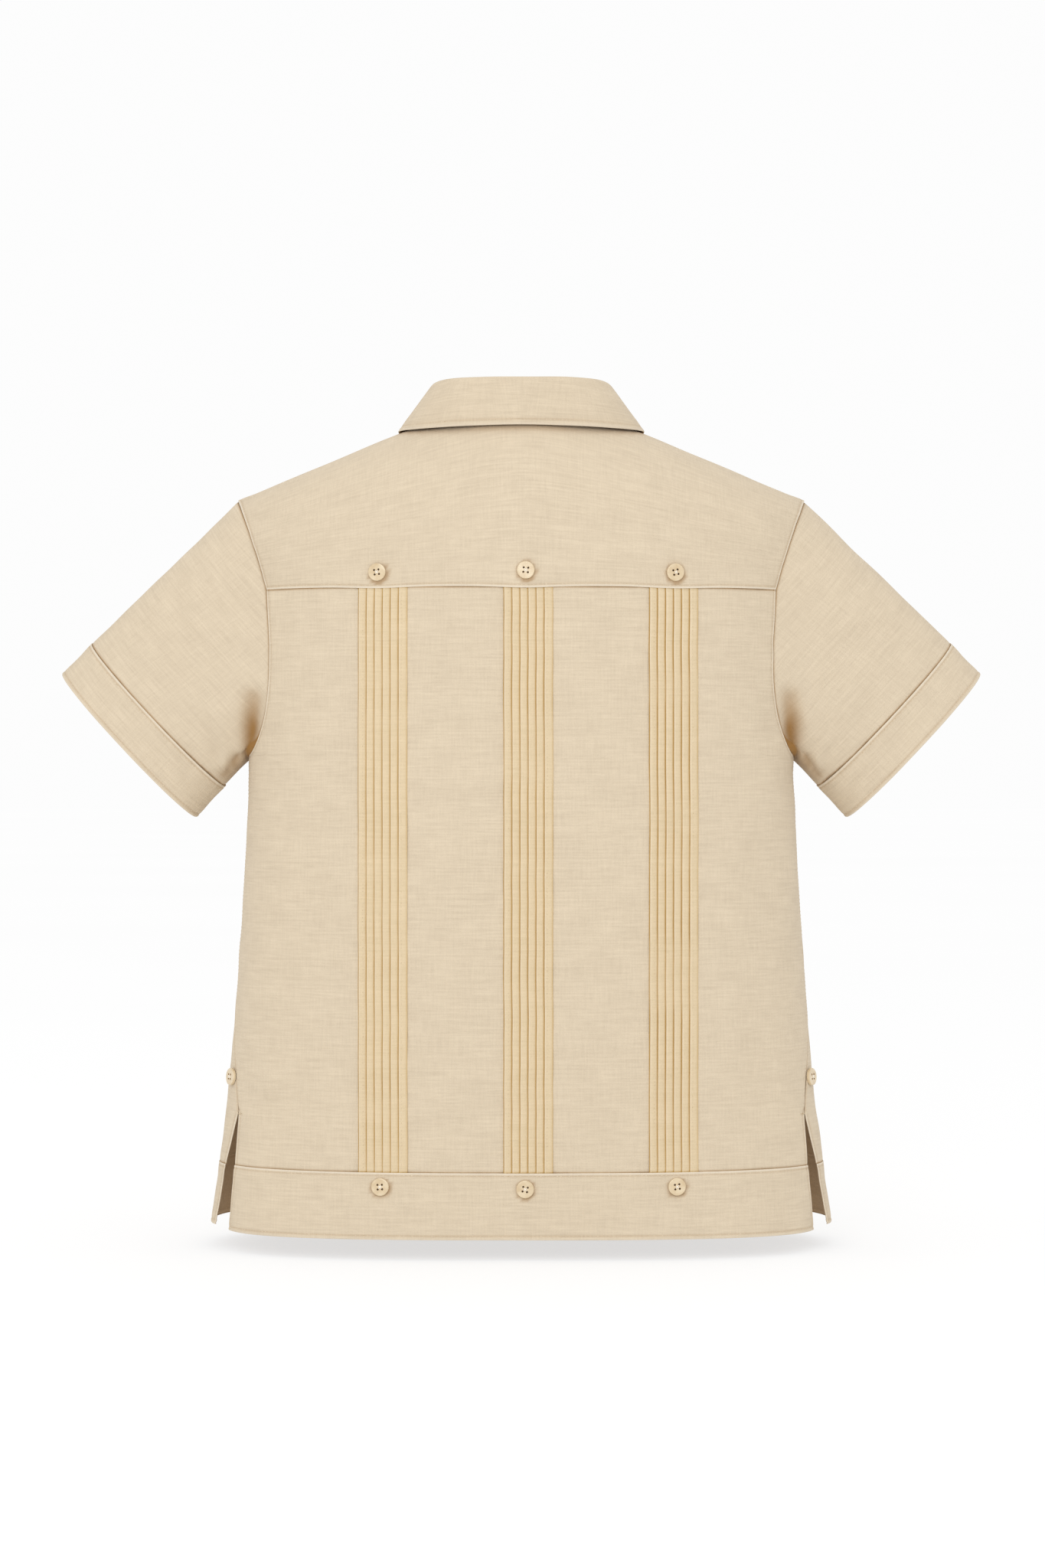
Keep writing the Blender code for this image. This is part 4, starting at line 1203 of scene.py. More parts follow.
@dataclass
class Yoke:
    """The yoke, from the neck over the shoulders and down to its stitched edge on the back."""
    shirt: Shirt
    side_columns: int = 46
    middle_columns: int = 118
    rows: int = 34
    button_dip: float = 0.0011
    neck_shares: tuple = (0, 0.29, 0.71, 1)
    flat: tuple = (0.395, 0.270)
    flat_area: float = 0.066
    creases: tuple = (
        Crease((-0.165, 0.030), (-0.105, 0.058), 0.016, 0.00050, 0.003),
        Crease((0.160, 0.024), (0.100, 0.070), 0.018, 0.00055, -0.004),
        Crease((0.070, 0.105), (0.130, 0.075), 0.012, -0.00040, 0.002),
        Crease((-0.050, 0.020), (-0.020, 0.085), 0.022, 0.00035, 0.003),
        Crease((-0.172, 0.060), (-0.120, 0.095), 0.014, -0.00045, -0.003),
        Crease((0.172, 0.062), (0.128, 0.088), 0.013, 0.00045, 0.002),
    )

    def outline(self) -> tuple[Array, Array, list[int]]:
        """The outer edge as across and turn values, from the front left corner round the back's seam.

        Returns:
            The across values, the turn values, and the columns of the two lower corners.
        """
        front = float(FORM.turn_of(FORM.yoke_front_share + 0.001))
        turns = np.linspace(front, 0.0, 400)
        side = FORM.shoulder(1.0, FORM.share_of(turns))
        at = grid_lines(travelled(side)[-1], self.side_columns)
        side_turns = np.interp(at, travelled(side), turns)
        edge = FORM.foot_x(Side.BACK)
        foot = FORM.on_back(np.linspace(edge, -edge, 601), YOKE_SEAM_Z)
        at = grid_lines(travelled(foot)[-1], self.middle_columns)
        foot_across = at_distances(foot, at)[:, 0] / edge
        ones, middle = np.ones(len(side_turns)), foot_across[1:-1]
        across = np.concatenate((ones, middle, -ones))
        turns = np.concatenate((side_turns, np.zeros(len(middle)), side_turns[::-1]))
        return across, turns, [len(side_turns) - 1, len(side_turns) + len(middle)]

    def laid(self) -> tuple[Sheet, Array]:
        """The yoke's sheet, drawn in from its outer edge to the neck, and its seam on the back."""
        across, turn, (left, right) = self.outline()
        start = NECK.angle_where(1, FORM.yoke_front_share + 0.001)
        length = travelled(FORM.shoulder(across, FORM.share_of(turn)))
        share = np.interp(length, (0, length[left], length[right], length[-1]), self.neck_shares)
        neck_across, neck_share = NECK.place(start + (math.pi - 2 * start) * share)
        neck_turn = FORM.turn_of(neck_share)
        run = np.linspace(0, 1, 161)[:, None]
        ways = np.stack([across + (neck_across - across) * run, turn + (neck_turn - turn) * run], -1)
        paths = FORM.shoulder(ways[..., 0], FORM.share_of(ways[..., 1]))
        columns, turned = [], []
        for index in range(len(across)):
            length = travelled(paths[:, index])
            at = grid_lines(length[-1], self.rows)
            columns.append(at_distances(paths[:, index], at))
            turned.append(np.interp(at, length, ways[:, index, 1]))
        points, turns = np.stack(columns, 1), np.linspace(0, 2.4, 300)
        rise = np.interp(np.stack(turned, 1), turns, travelled(FORM.shoulder(0.4, FORM.share_of(turns))))
        sheet = Sheet(points, np.stack([-points[..., 0], rise], -1))
        return sheet, sheet.row(0)[left:right + 1]

    def build(self) -> None:
        """Make the yoke and its stitching."""
        sheet, seam = self.laid()
        points, place = sheet.points, sheet.place
        folds = sheet.row(0), sheet.column(0), sheet.column(-1)
        from_seam, from_neck = distance_to(points, seam), distance_to(points, sheet.row(-1))
        from_folds = np.min([from_seam] + [distance_to(points, fold) for fold in folds], axis=0)
        calm = np.clip((from_neck - 0.010) / 0.025, 0, 1)
        relief = FOLDED.at(from_folds) + UNDER.at(from_neck) + TUCKS.lift(points[..., 0], from_seam)
        relief += (sum(crease.at(place) for crease in self.creases) + unevenness(place, 21, 0.00026)) * calm
        relief += puckers(place[..., 0], from_seam, 22, 0.00010)
        done = sheet.raised(relief)
        dip = sum(np.exp(-((points[..., 0] - button.x) / 0.022) ** 2)
                  for button in BACK_BUTTONS if button.row == "yoke")
        done.points[..., 2] -= self.button_dip * dip * np.exp(-(from_seam / 0.008) ** 2)
        # Painted shadow of the collar's leaf on the yoke, beside its free edge
        leaf = Collar(self.shirt).free_edge(np.linspace(0.0, math.pi, 200))
        tone = PaintedLight(points).under(sheet.row(-1)).fold(*folds).line(LEAF_SHADE, leaf)
        self.shirt.panel("yoke", done, self.flat, area=self.flat_area, held="stretched", rests_on=["back"],
                         tone=tone.value + button_shade(points, "yoke"))
        self.shirt.sew("stitches_yoke", stitch_lines(done, rows=(NEAR_STITCH,), first=0.001, last=0.001)
                       + stitch_lines(done, columns=(NEAR_STITCH, -1 - NEAR_STITCH), first=0.003, last=0.006))


@dataclass
class Fronts:
    """Both fronts, their hem bands and the button band between them."""
    shirt: Shirt
    columns: int = 62
    rows: int = 110
    share_rows: int = 9
    neck_rows: int = 18
    band_rows: int = 8
    closing_half: float = 0.014
    closing_lift: float = 0.0013
    flat: tuple = (0.212, 0.517)
    flat_area: float = 0.103
    band_flat: tuple = (0.270, 0.042)
    closing_flat: tuple = (0.029, 0.492)
    left_creases: tuple = (
        Crease((0.175, -0.150), (0.110, -0.190), 0.018, 0.0010, 0.005),
        Crease((0.182, -0.190), (0.120, -0.265), 0.024, -0.0011, 0.007),
        Crease((0.185, -0.222), (0.135, -0.320), 0.024, 0.0011, -0.006),
        Crease((0.150, -0.488), (0.120, -0.370), 0.026, 0.0009, 0.006),
        Crease((0.080, -0.488), (0.086, -0.340), 0.030, -0.0009, 0.005),
        Crease((0.050, -0.080), (0.085, -0.170), 0.024, 0.0008, -0.004),
        Crease((0.120, -0.040), (0.100, -0.120), 0.020, -0.0007, 0.003),
    )
    right_creases: tuple = (
        Crease((-0.172, -0.140), (-0.105, -0.200), 0.020, 0.0010, -0.005),
        Crease((-0.184, -0.200), (-0.128, -0.250), 0.018, -0.0010, -0.006),
        Crease((-0.186, -0.225), (-0.142, -0.350), 0.028, 0.0011, 0.006),
        Crease((-0.160, -0.488), (-0.118, -0.400), 0.022, 0.0009, -0.004),
        Crease((-0.070, -0.488), (-0.092, -0.320), 0.030, 0.0009, -0.005),
        Crease((-0.044, -0.090), (-0.076, -0.200), 0.026, -0.0008, 0.005),
        Crease((-0.128, -0.050), (-0.106, -0.110), 0.018, 0.0007, -0.003),
    )

    def level_rows(self, heights: Array) -> list[Array]:
        """Rows of the left front at heights, from the middle to the side."""
        rows = []
        for z in heights:
            first, last = float(FORM.angle_at_x(Side.FRONT, z, 0.00015)), FORM.edge_angle(Side.FRONT, z)
            path = FORM.point(Side.FRONT, z, np.linspace(first, last, 401))
            rows.append(at_distances(path, grid_lines(travelled(path)[-1], self.columns)))
        return rows

    def top_rows(self) -> list[Array]:
        """Rows of the left front above the yoke seam's height, from the middle or the neck to the armhole."""
        first = NECK.angle_where(0, 0.0008)
        angles = np.linspace(first, NECK.angle_where(1, FORM.yoke_front_share - 0.001), 300)
        edge = FORM.shoulder(*NECK.place(angles))
        at = grid_lines(travelled(edge)[-1], self.neck_rows, (0.0,))
        starts, shares = NECK.place(np.interp(at, travelled(edge), angles))
        turns = np.linspace(math.pi, float(FORM.turn_of(shares[0])), self.share_rows + 2)[1:-1]
        starts = np.concatenate((np.full(len(turns), 0.0008), starts))
        shares = np.concatenate((FORM.share_of(turns), shares))
        rows = []
        for start, share in zip(starts, shares):
            path = FORM.shoulder(start + (1 - start) * np.linspace(0, 1, 401), share)
            rows.append(at_distances(path, grid_lines(travelled(path)[-1], self.columns)))
        return rows

    @staticmethod
    def laid_flat(rows: list[Array]) -> Sheet:
        """A sheet of rows, with its flat places counted up from the lowest."""
        points = np.array(rows)
        steps = np.linalg.norm(np.diff(points, axis=0), axis=-1).mean(1)
        up = points[0, 0, 2] + np.concatenate(([0.0], np.cumsum(steps)))
        across = np.stack([travelled(row) for row in points]) + points[:, :1, 0]
        return Sheet(points, np.stack(np.broadcast_arrays(across, up[:, None]), -1))

    def build(self) -> None:
        """Make every piece of the fronts."""
        heights = body_heights(self.rows)[:-1]
        front = self.laid_flat(self.level_rows(heights) + self.level_rows([YOKE_SEAM_Z]) + self.top_rows())
        heights = FRONT_HEM_Z + grid_lines(HEM_SEAM_Z - FRONT_HEM_Z, self.band_rows)
        band = self.laid_flat(self.level_rows(heights))
        for hand, creases, seed in zip(Hand, (self.left_creases, self.right_creases), (31, 36)):
            mine = (front, band) if hand is Hand.LEFT else (front.mirrored(), band.mirrored())
            self.make_front(hand, mine[0], creases, seed)
            self.make_hem_band(hand, mine[1], seed + 2)
        self.make_closing()

    def make_front(self, hand: Hand, sheet: Sheet, creases: Sequence[Crease], seed: int) -> None:
        """One front, with creases of its own."""
        name, points = hand.name.lower(), sheet.points
        side, middle = sheet.column(hand.column(0)), sheet.column(-1 - hand.column(0))
        rows, neck = SideRows.of(side[:, 2]), middle[-self.neck_rows - len(EDGE_LINES):]
        from_neck = distance_to(points, neck)
        relief = UNDER.beside(points, sheet.row(0), sheet.row(-1)) + UNDER.at(from_neck)
        relief += rows.relief(points, side)
        calm = np.clip((np.abs(points[..., 0]) - 0.016) / 0.020, 0, 1)
        calm = calm * np.clip((from_neck - 0.010) / 0.03, 0, 1)
        relief += (sum(crease.at(sheet.place) for crease in creases)
                   + unevenness(sheet.place, seed, 0.00035)) * calm
        done = sheet.raised(relief)
        tone = PaintedLight(points).under(sheet.row(0), sheet.row(-1), neck)
        rows.shade(tone, side)
        self.shirt.panel(f"front_{name}", done, self.flat, area=self.flat_area, rests_on=["yoke"],
                         tone=tone.value, inside=BODY_INSIDE)
        lines = []
        for chosen, column in ((rows.armhole, NEAR_STITCH), (rows.vent, FAR_STITCH)):
            lines += stitch_lines(done.chosen(chosen), columns=(hand.column(column),))
        self.shirt.sew(f"stitches_front_{name}", lines)

    def make_hem_band(self, hand: Hand, sheet: Sheet, seed: int) -> None:
        """One front's hem band."""
        name, points = hand.name.lower(), sheet.points
        hems = sheet.row(0), sheet.column(hand.column(0))
        from_seam = distance_to(points, sheet.row(-1))
        relief = FOLDED.at(from_seam) + HEMMED.beside(points, *hems)
        relief += unevenness(sheet.place, seed, 0.00022)
        relief += puckers(sheet.place[..., 0], from_seam, 34, 0.00010)
        done = sheet.raised(relief)
        self.shirt.panel(f"hem_band_{name}", done, self.band_flat, HEM_LAYERS, rests_on=[f"front_{name}"],
                         tone=PaintedLight(points).fold(sheet.row(-1)).hem(*hems).value, inside=BODY_INSIDE)
        self.shirt.sew(f"stitches_hem_{name}", stitch_lines(done, rows=(-1 - NEAR_STITCH, FAR_STITCH),
                                                            columns=(hand.column(FAR_STITCH),)))

    def make_closing(self) -> None:
        """The button band over the place where the fronts meet."""
        edge = EDGE_LINES[:BAND_STITCH + 2]
        lines = grid_lines(2 * self.closing_half, 5, edge, edge) - self.closing_half
        heights = FRONT_HEM_Z + grid_lines(YOKE_SEAM_Z - FRONT_HEM_Z, 120)[:-6]
        heights = np.append(heights, YOKE_SEAM_Z - 0.002)
        rows = [FORM.point(Side.FRONT, z, FORM.angle_at_x(Side.FRONT, z, lines)) for z in heights]
        lowest = float(NECK.place(math.radians(-90.0))[1])
        turns = np.linspace(math.pi, float(FORM.turn_of(lowest)), 24)[1:]
        foot = FORM.foot_x(Side.FRONT)
        rows += [FORM.shoulder(lines / foot, share) for share in FORM.share_of(turns)]
        rows[-1] = rows[-1] * 0.98 + rows[-2] * 0.02
        points = np.array(rows)
        up = travelled(points[:, len(lines) // 2]) + FRONT_HEM_Z
        sheet = Sheet(points, np.stack(np.broadcast_arrays(lines[None, :], up[:, None]), -1))
        from_sides = np.minimum(distance_to(points, sheet.column(0)), distance_to(points, sheet.column(-1)))
        relief = self.closing_lift + HEMMED.at(from_sides) + HEMMED.beside(points, sheet.row(0))
        done = sheet.raised(relief + unevenness(sheet.place, 39, 0.00014))
        self.shirt.panel("front_band", done, self.closing_flat, TWO_LAYERS, held="folded",
                         rests_on=["front_left", "front_right"])
        sides = stitch_lines(done, columns=(BAND_STITCH, -1 - BAND_STITCH), first=0.003, last=0.003)
        self.shirt.sew("stitches_front_band", sides + stitch_lines(done, rows=(FAR_STITCH,)))


@dataclass(frozen=True)
class Pleat:
    """A short fold under the arm, along a path seen from behind; its shade may grow from its top down."""
    path: tuple
    width: float
    depth: float
    shade: float
    top_strength: float = 1.0

    def at(self, points: Array) -> Array:
        """How near points are to the fold, from 1 on it to 0 well away."""
        flat = np.array([(x, 0.0, z) for x, z in self.path])
        return np.exp(-(distance_to(points * np.array((1.0, 0.0, 1.0)), flat) / self.width) ** 2)

    def strength(self, z: Array) -> Array:
        """Share of the shade at heights."""
        return np.clip(self.top_strength + (self.path[0][1] - z) / 0.034, self.top_strength, 1)


@dataclass
class Sleeves:
    """Both short sleeves and their hem bands."""
    shirt: Shirt
    seam_middle: tuple = (0.2420, -0.007, -0.1935)
    end_middle: tuple = (0.2618, -0.009, -0.2140)
    up: tuple = (0.682, 0.0, 0.7314)
    seam_half: float = 0.0648
    end_half: float = 0.0656
    half_depth: float = 0.0320
    swing: float = math.radians(5.0)
    power: float = 2.2
    half_columns: int = 74
    rows: int = 34
    band_rows: int = 6
    round_flat: float = 0.340
    trough: float = 0.0030
    trough_reach: float = 0.0080
    trough_round: tuple = ((0, 14, 30, 45, 70), (0.0, 0.1, 1.0, 1.0, 0.0))
    pleats: tuple = (
        Pleat(((0.1765, -0.184), (0.1783, -0.198), (0.1785, -0.212), (0.1765, -0.226)),
              0.0050, 0.0036, 0.95, 0.40),
        Pleat(((0.1875, -0.2255), (0.1890, -0.2275)), 0.0032, 0.0010, 0.55),
        Pleat(((0.1935, -0.2325), (0.1965, -0.2345)), 0.0036, 0.0010, 0.42),
    )
    flat: tuple = (0.387, 0.125)
    flat_area: float = 0.035
    band_flat: tuple = (0.320, 0.029)
    creases: tuple = (
        (Crease((0.212, -0.020), (0.262, -0.078), 0.016, 0.0010, 0.004),
         Crease((0.228, -0.038), (0.285, -0.070), 0.013, -0.0009, -0.003),
         Crease((0.200, -0.012), (0.238, -0.028), 0.010, -0.0008, 0.002),
         Crease((0.268, -0.094), (0.300, -0.030), 0.018, 0.0006, 0.004),
         Crease((0.130, -0.040), (0.085, -0.080), 0.018, 0.0010, 0.004),
         Crease((0.100, -0.095), (0.070, -0.030), 0.020, -0.0008, 0.003),
         Crease((0.182, -0.034), (0.206, -0.016), 0.011, -0.0020, 0.002),
         Crease((0.188, -0.006), (0.216, -0.026), 0.009, 0.0014, 0.002)),
        (Crease((0.208, -0.018), (0.250, -0.085), 0.018, 0.0010, -0.004),
         Crease((0.222, -0.044), (0.276, -0.084), 0.014, -0.0009, 0.003),
         Crease((0.196, -0.014), (0.244, -0.034), 0.010, 0.0007, 0.002),
         Crease((0.282, -0.100), (0.292, -0.040), 0.018, -0.0006, 0.003),
         Crease((0.135, -0.036), (0.092, -0.090), 0.016, 0.0010, -0.004),
         Crease((0.098, -0.088), (0.062, -0.040), 0.022, -0.0008, 0.003),
         Crease((0.180, -0.030), (0.210, -0.020), 0.012, -0.0018, -0.002),
         Crease((0.190, -0.004), (0.212, -0.030), 0.010, 0.0015, 0.002)),
    )

    def axis(self) -> Array:
        """Direction of the sleeve's end, away from the body."""
        return direction(np.array(self.end_middle) - np.array(self.seam_middle))

    def ring(self, middle: Sequence[float], half: float, angle: Array) -> Array:
        """Points of the left sleeve's section; the angle is 0 on top and 90 degrees at the front."""
        deep = np.array((0.0, -math.cos(self.swing), 0.0)) - self.axis() * math.sin(self.swing)
        cos, sin = np.cos(angle)[:, None], np.sin(angle)[:, None]
        high = np.sign(cos) * half * np.abs(cos) ** (2 / self.power)
        out = np.sign(sin) * self.half_depth * np.abs(sin) ** (2 / self.power)
        return np.array(middle) + direction(np.array(self.up)) * high + deep * out

    def armhole(self) -> tuple[Array, Array]:
        """Points round the left armhole, from the shoulder forwards, under and up the back, with angles."""
        over = FORM.shoulder(1.0, FORM.share_of(np.linspace(math.pi / 2, math.pi, 200)))
        floor = UNDERARM_Z + (YOKE_SEAM_Z - UNDERARM_Z) * np.linspace(1, 0, 400) ** 2
        down = [FORM.point(Side.FRONT, z, FORM.edge_angle(Side.FRONT, z)) for z in floor[1:-1]]
        under = FORM.point(Side.FRONT, UNDERARM_Z, math.pi / 2)
        rise = [FORM.point(Side.BACK, z, FORM.edge_angle(Side.BACK, z)) for z in floor[-2:0:-1]]
        behind = FORM.shoulder(1.0, FORM.share_of(np.linspace(0, math.pi / 2, 200)))
        loop, angles = [], []
        for index, path in enumerate((np.vstack((over, down, under)), np.vstack((under, rise, behind)))):
            at = np.linspace(0, 1, self.half_columns + 1)[index:]
            loop.append(at_distances(path, at * travelled(path)[-1]))
            angles.append(math.pi * (index + at))
        return np.concatenate(loop), np.concatenate(angles)

    def lofted(self, start: Array, end: Array, angles: Array, count: int) -> Sheet:
        """A closed sheet straight from one ring of points to another."""
        columns, place = [], []
        for first, last, angle in zip(start, end, angles):
            length = float(np.linalg.norm(last - first))
            lines = grid_lines(length, count)
            columns.append(first + (last - first) * (lines / length)[:, None])
            round_it = np.full(len(lines), self.round_flat * angle / (2 * math.pi))
            place.append(np.stack([round_it, lines - length], -1))
        return Sheet(np.stack(columns, 1), np.stack(place, 1), closed=True)

    def build(self) -> None:
        """Make both sleeves."""
        loop, angles = self.armhole()
        top = np.maximum(0.0, np.cos(angles))[:, None]
        seam = self.ring(self.seam_middle, self.seam_half, angles)
        end = self.ring(self.end_middle, self.end_half, angles)
        sleeve = self.lofted(loop + self.axis() * (0.0002 + 0.0003 * top), seam, angles, self.rows)
        band = self.lofted(seam + self.axis() * 0.0001, end, angles, self.band_rows)
        for hand, creases, seed in zip(Hand, self.creases, (51, 56)):
            self.make_sleeve(hand, sleeve, creases, seed)
            self.make_band(hand, band, seed)

    def make_sleeve(self, hand: Hand, form: Sheet, creases: Sequence[Crease], seed: int) -> None:
        """One sleeve, under the body's edge and its own band's."""
        name, points, along = hand.name.lower(), form.points, form.place[..., 0]
        from_body, from_band = distance_to(points, form.row(0)), distance_to(points, form.row(-1))
        relief = UNDER.at(from_body) + UNDER.at(from_band) + sum(crease.at(form.place) for crease in creases)
        relief += self.around(form, seed, 0.00030) + puckers(along, from_band, seed + 1, 0.00012)
        relief += puckers(along, from_body, seed + 2, 0.00016, 0.012) - self.sunk(form, from_body)
        tone = PaintedLight(points).under(form.row(0), form.row(-1)).value
        behind = np.clip((points[..., 1] + 0.004) / 0.012, 0, 1) * np.clip(from_body / 0.0015, 0, 1)
        # Painted shade of the pleats under the arm, kept off the sleeve's front
        shaded = np.clip((points[..., 1] + 0.030) / 0.010, 0, 1)
        for pleat in self.pleats:
            fold = pleat.at(points)
            relief -= pleat.depth * fold * behind
            tone = tone + pleat.shade * fold ** 0.8 * shaded * pleat.strength(points[..., 2])
        self.finish(hand, f"sleeve_{name}", form.raised(relief), tone, self.flat, area=self.flat_area,
                    rests_on=["yoke"])

    def sunk(self, form: Sheet, from_body: Array) -> Array:
        """How far the sleeve sinks in beside the armhole, under the arm."""
        from_under = np.abs(np.degrees(self.angle(form)) - 180)
        share = from_body / self.trough_reach
        return self.trough * np.interp(from_under, *self.trough_round) * share * np.exp(1 - share)

    def make_band(self, hand: Hand, form: Sheet, seed: int) -> None:
        """One sleeve's hem band, stitched over the sleeve."""
        name, points = hand.name.lower(), form.points
        from_seam = distance_to(points, form.row(0))
        relief = 0.7 * FOLDED.at(from_seam) + HEMMED.beside(points, form.row(-1))
        relief += self.around(form, seed + 3, 0.00018)
        relief += puckers(form.place[..., 0], from_seam, seed + 4, 0.00020, 0.011)
        tone = PaintedLight(points).fold(form.row(0)).hem(form.row(-1)).value
        done = self.finish(hand, f"sleeve_band_{name}", form.raised(relief), tone, self.band_flat,
                           thickness=HEM_LAYERS, rests_on=[f"sleeve_{name}"])
        self.shirt.sew(f"stitches_sleeve_{name}", stitch_lines(done, rows=(FAR_STITCH, -1 - FAR_STITCH)))

    def finish(self, hand: Hand, name: str, done: Sheet, tone: Array, flat: tuple, **more: Any) -> Sheet:
        """Make a piece of a sleeve, mirrored for the right arm, and return its sheet."""
        if hand is Hand.RIGHT:
            done, tone = done.mirrored(), tone[:, ::-1]
        self.shirt.panel(name, done, flat, tone=tone, **more)
        return done

    def angle(self, form: Sheet) -> Array:
        """Angle of each point round the sleeve, 0 on top and 180 degrees under the arm."""
        return form.place[..., 0] / self.round_flat * 2 * math.pi

    def around(self, form: Sheet, seed: int, height: float) -> Array:
        """Unevenness for a closed sheet, the same where its first and last columns meet."""
        angle, radius = self.angle(form), self.round_flat / (2 * math.pi)
        place = np.stack([radius * np.cos(angle), form.place[..., 1] + radius * np.sin(angle)], -1)
        return unevenness(place, seed, height)


@dataclass
class Collar:
    """The collar stand and the leaf folded over it."""
    shirt: Shirt
    fold: Oval = Oval(0.0605, 0.001, 0.060, 3.0)
    fold_back_z: float = 0.0245
    fold_drop: float = 0.0495
    fold_power: float = 3.2
    end_degrees: float = -89.5
    inside: float = 0.0025
    stand_drop: float = 0.0042
    stand_gap: float = 0.0008
    crown: float = 0.0004
    columns: int = 150
    rows: int = 26
    roll: tuple = ((-0.0012, 0.0003), (-0.0010, 0.0022), (0.0004, 0.0040), (0.0024, 0.0041), (0.0038, 0.0024))
    edge_degrees: tuple = (-89.5, -55.0, -30.0, -17.0, -5.0, 15.0, 35.0, 60.0, 90.0)
    edge_x: tuple = (0.0300, 0.0520, 0.0710, 0.0785, 0.0822, 0.0815, 0.0715, 0.0455, 0.0)
    edge_y: tuple = (-0.0800, -0.0665, -0.0390, -0.0235, -0.0080, 0.0170, 0.0380, 0.0558, 0.0630)
    edge_z: tuple = (-0.0700, -0.0500, -0.0205, -0.0112, -0.0058, -0.0065, -0.0077, -0.0076, -0.0068)
    flat: tuple = (0.464, 0.045)
    flat_area: float = 0.0205
    stand_flat: tuple = (0.412, 0.020)
    inner_lines: tuple = (0.0, 0.001, 0.002, 0.003)
    shape: EdgeShape = EdgeShape(
        (0.0, 0.0003, 0.0007, 0.0019, 0.0026, 0.0036, 0.0050, 0.0080, 0.0130),
        (-0.00035, -0.00008, 0.00010, 0.00018, 0.00008, -0.00016, 0.00012, 0.00014, 0.0))

    def fold_point(self, angle: Array) -> Array:
        """Points on top of the fold."""
        x, y = self.fold.at(angle)
        drop = self.fold_drop * ((1 - np.sin(angle)) / 2) ** self.fold_power
        return np.stack([x, y, self.fold_back_z - drop], -1)

    def outward(self, angle: Array) -> Array:
        """Level directions out of the fold."""
        along = self.fold_point(angle + 0.01) - self.fold_point(angle - 0.01)
        return direction(np.stack([along[..., 1], -along[..., 0], np.zeros(len(along))], -1))

    def free_edge(self, angle: Array) -> Array:
        """Points on the leaf's free edge."""
        degrees = np.degrees(angle)
        keys = np.array(self.edge_degrees)
        keys = np.concatenate((keys, 180 - keys[-2::-1]))
        columns = []
        for values, flip in ((self.edge_x, -1), (self.edge_y, 1), (self.edge_z, 1)):
            values = np.array(values)
            columns.append(read(keys, np.concatenate((values, flip * values[-2::-1])), degrees, 9.0))
        return np.stack(columns, -1)

    def build(self) -> None:
        """Make the stand and the leaf."""
        first = math.radians(self.end_degrees)
        dense = np.linspace(first, math.pi - first, 1200)
        path = self.fold_point(dense)
        angles = np.interp(grid_lines(travelled(path)[-1], self.columns), travelled(path), dense)
        out, up = self.outward(angles), np.array((0.0, 0.0, 1.0))
        tops = self.fold_point(angles) - out * self.inside - up * self.stand_drop
        neck = FORM.shoulder(*NECK.place(angles))
        foot = neck + direction(tops - neck) * self.stand_gap
        self.make_stand(foot, tops)
        rolled = [tops + out * aside + up * rise for aside, rise in self.roll]
        edge, start = self.free_edge(angles), rolled[-1]
        leaf = [start + (edge - start) * share + out * self.crown * math.sin(math.pi * share)
                for share in np.linspace(0, 1, 9)[1:]]
        paths = np.array(rolled + leaf)[::-1]
        self.make_leaf(np.stack([self.softened(paths[:, index]) for index in range(len(angles))], 1))

    def softened(self, path: Array) -> Array:
        """A path with its corners rounded and its points at the grid's distances."""
        path = at_distances(path, np.linspace(0, travelled(path)[-1], 160))
        for _ in range(14):
            path[1:-1] = path[:-2] * 0.25 + path[1:-1] * 0.5 + path[2:] * 0.25
        lines = grid_lines(travelled(path)[-1], self.rows, EDGE_LINES, self.inner_lines)
        return at_distances(path, lines)

    def make_stand(self, foot: Array, tops: Array) -> None:
        """The stand between the neck opening and the fold."""
        share = np.linspace(0, 1, 12)[:, None, None]
        points = foot + (tops - foot) * share
        across = travelled(points[0])
        place = np.stack(np.broadcast_arrays(across[None, :], 0.02 * share[..., 0]), -1)
        self.shirt.panel("collar_stand", Sheet(points, place), self.stand_flat, TWO_LAYERS, held="folded",
                         rests_on=["yoke"])

    def make_leaf(self, points: Array) -> None:
        """The leaf, two layers thick, with stitching round its edge."""
        across = travelled(points[len(points) // 2])
        along = np.stack([travelled(points[:, index]) for index in range(points.shape[1])], 1)
        across = np.broadcast_to(across - across[-1] / 2, along.shape)
        sheet = Sheet(points, np.stack([across, along], -1))
        edges = np.concatenate((sheet.column(0)[::-1], sheet.row(0)[1:-1], sheet.column(-1)))
        from_edge, from_inside = distance_to(points, edges), distance_to(points, sheet.row(-1))
        relief = self.shape.at(from_edge) * np.clip(from_inside / 0.01, 0, 1)
        relief += unevenness(sheet.place, 61, 0.00018) + puckers(sheet.place[..., 0], from_edge, 62, 0.00008)
        done = sheet.raised(relief)
        # Painted highlight along the leaf's edge and painted shade along its stitching
        tone = PaintedLight(points).line(LEAF_HIGHLIGHT, edges).line(LEAF_STITCH_SHADE, edges)
        self.shirt.panel("collar", done, self.flat, LEAF_LAYERS, held="folded", rests_on=["collar_stand"],
                         area=self.flat_area, tone=tone.value, inside=LEAF_INSIDE)
        columns = LEAF_STITCH, -1 - LEAF_STITCH
        self.shirt.sew("stitches_collar", stitch_lines(done, rows=(LEAF_STITCH,), first=0.003, last=0.003)
                       + stitch_lines(done, columns=columns, first=0.004, last=0.014))


@dataclass(frozen=True)
class BackButton:
    """A button above or below a band of tucks."""
    row: str
    side: str
    x: float
    z: float


BACK_BUTTONS = (
    BackButton("yoke", "left", 0.0926, -0.1037),
    BackButton("yoke", "middle", -0.0029, -0.1028),
    BackButton("yoke", "right", -0.0990, -0.1037),
    BackButton("hem", "left", 0.0906, -0.4990),
    BackButton("hem", "middle", -0.0025, -0.5000),
    BackButton("hem", "right", -0.1000, -0.4990),
)


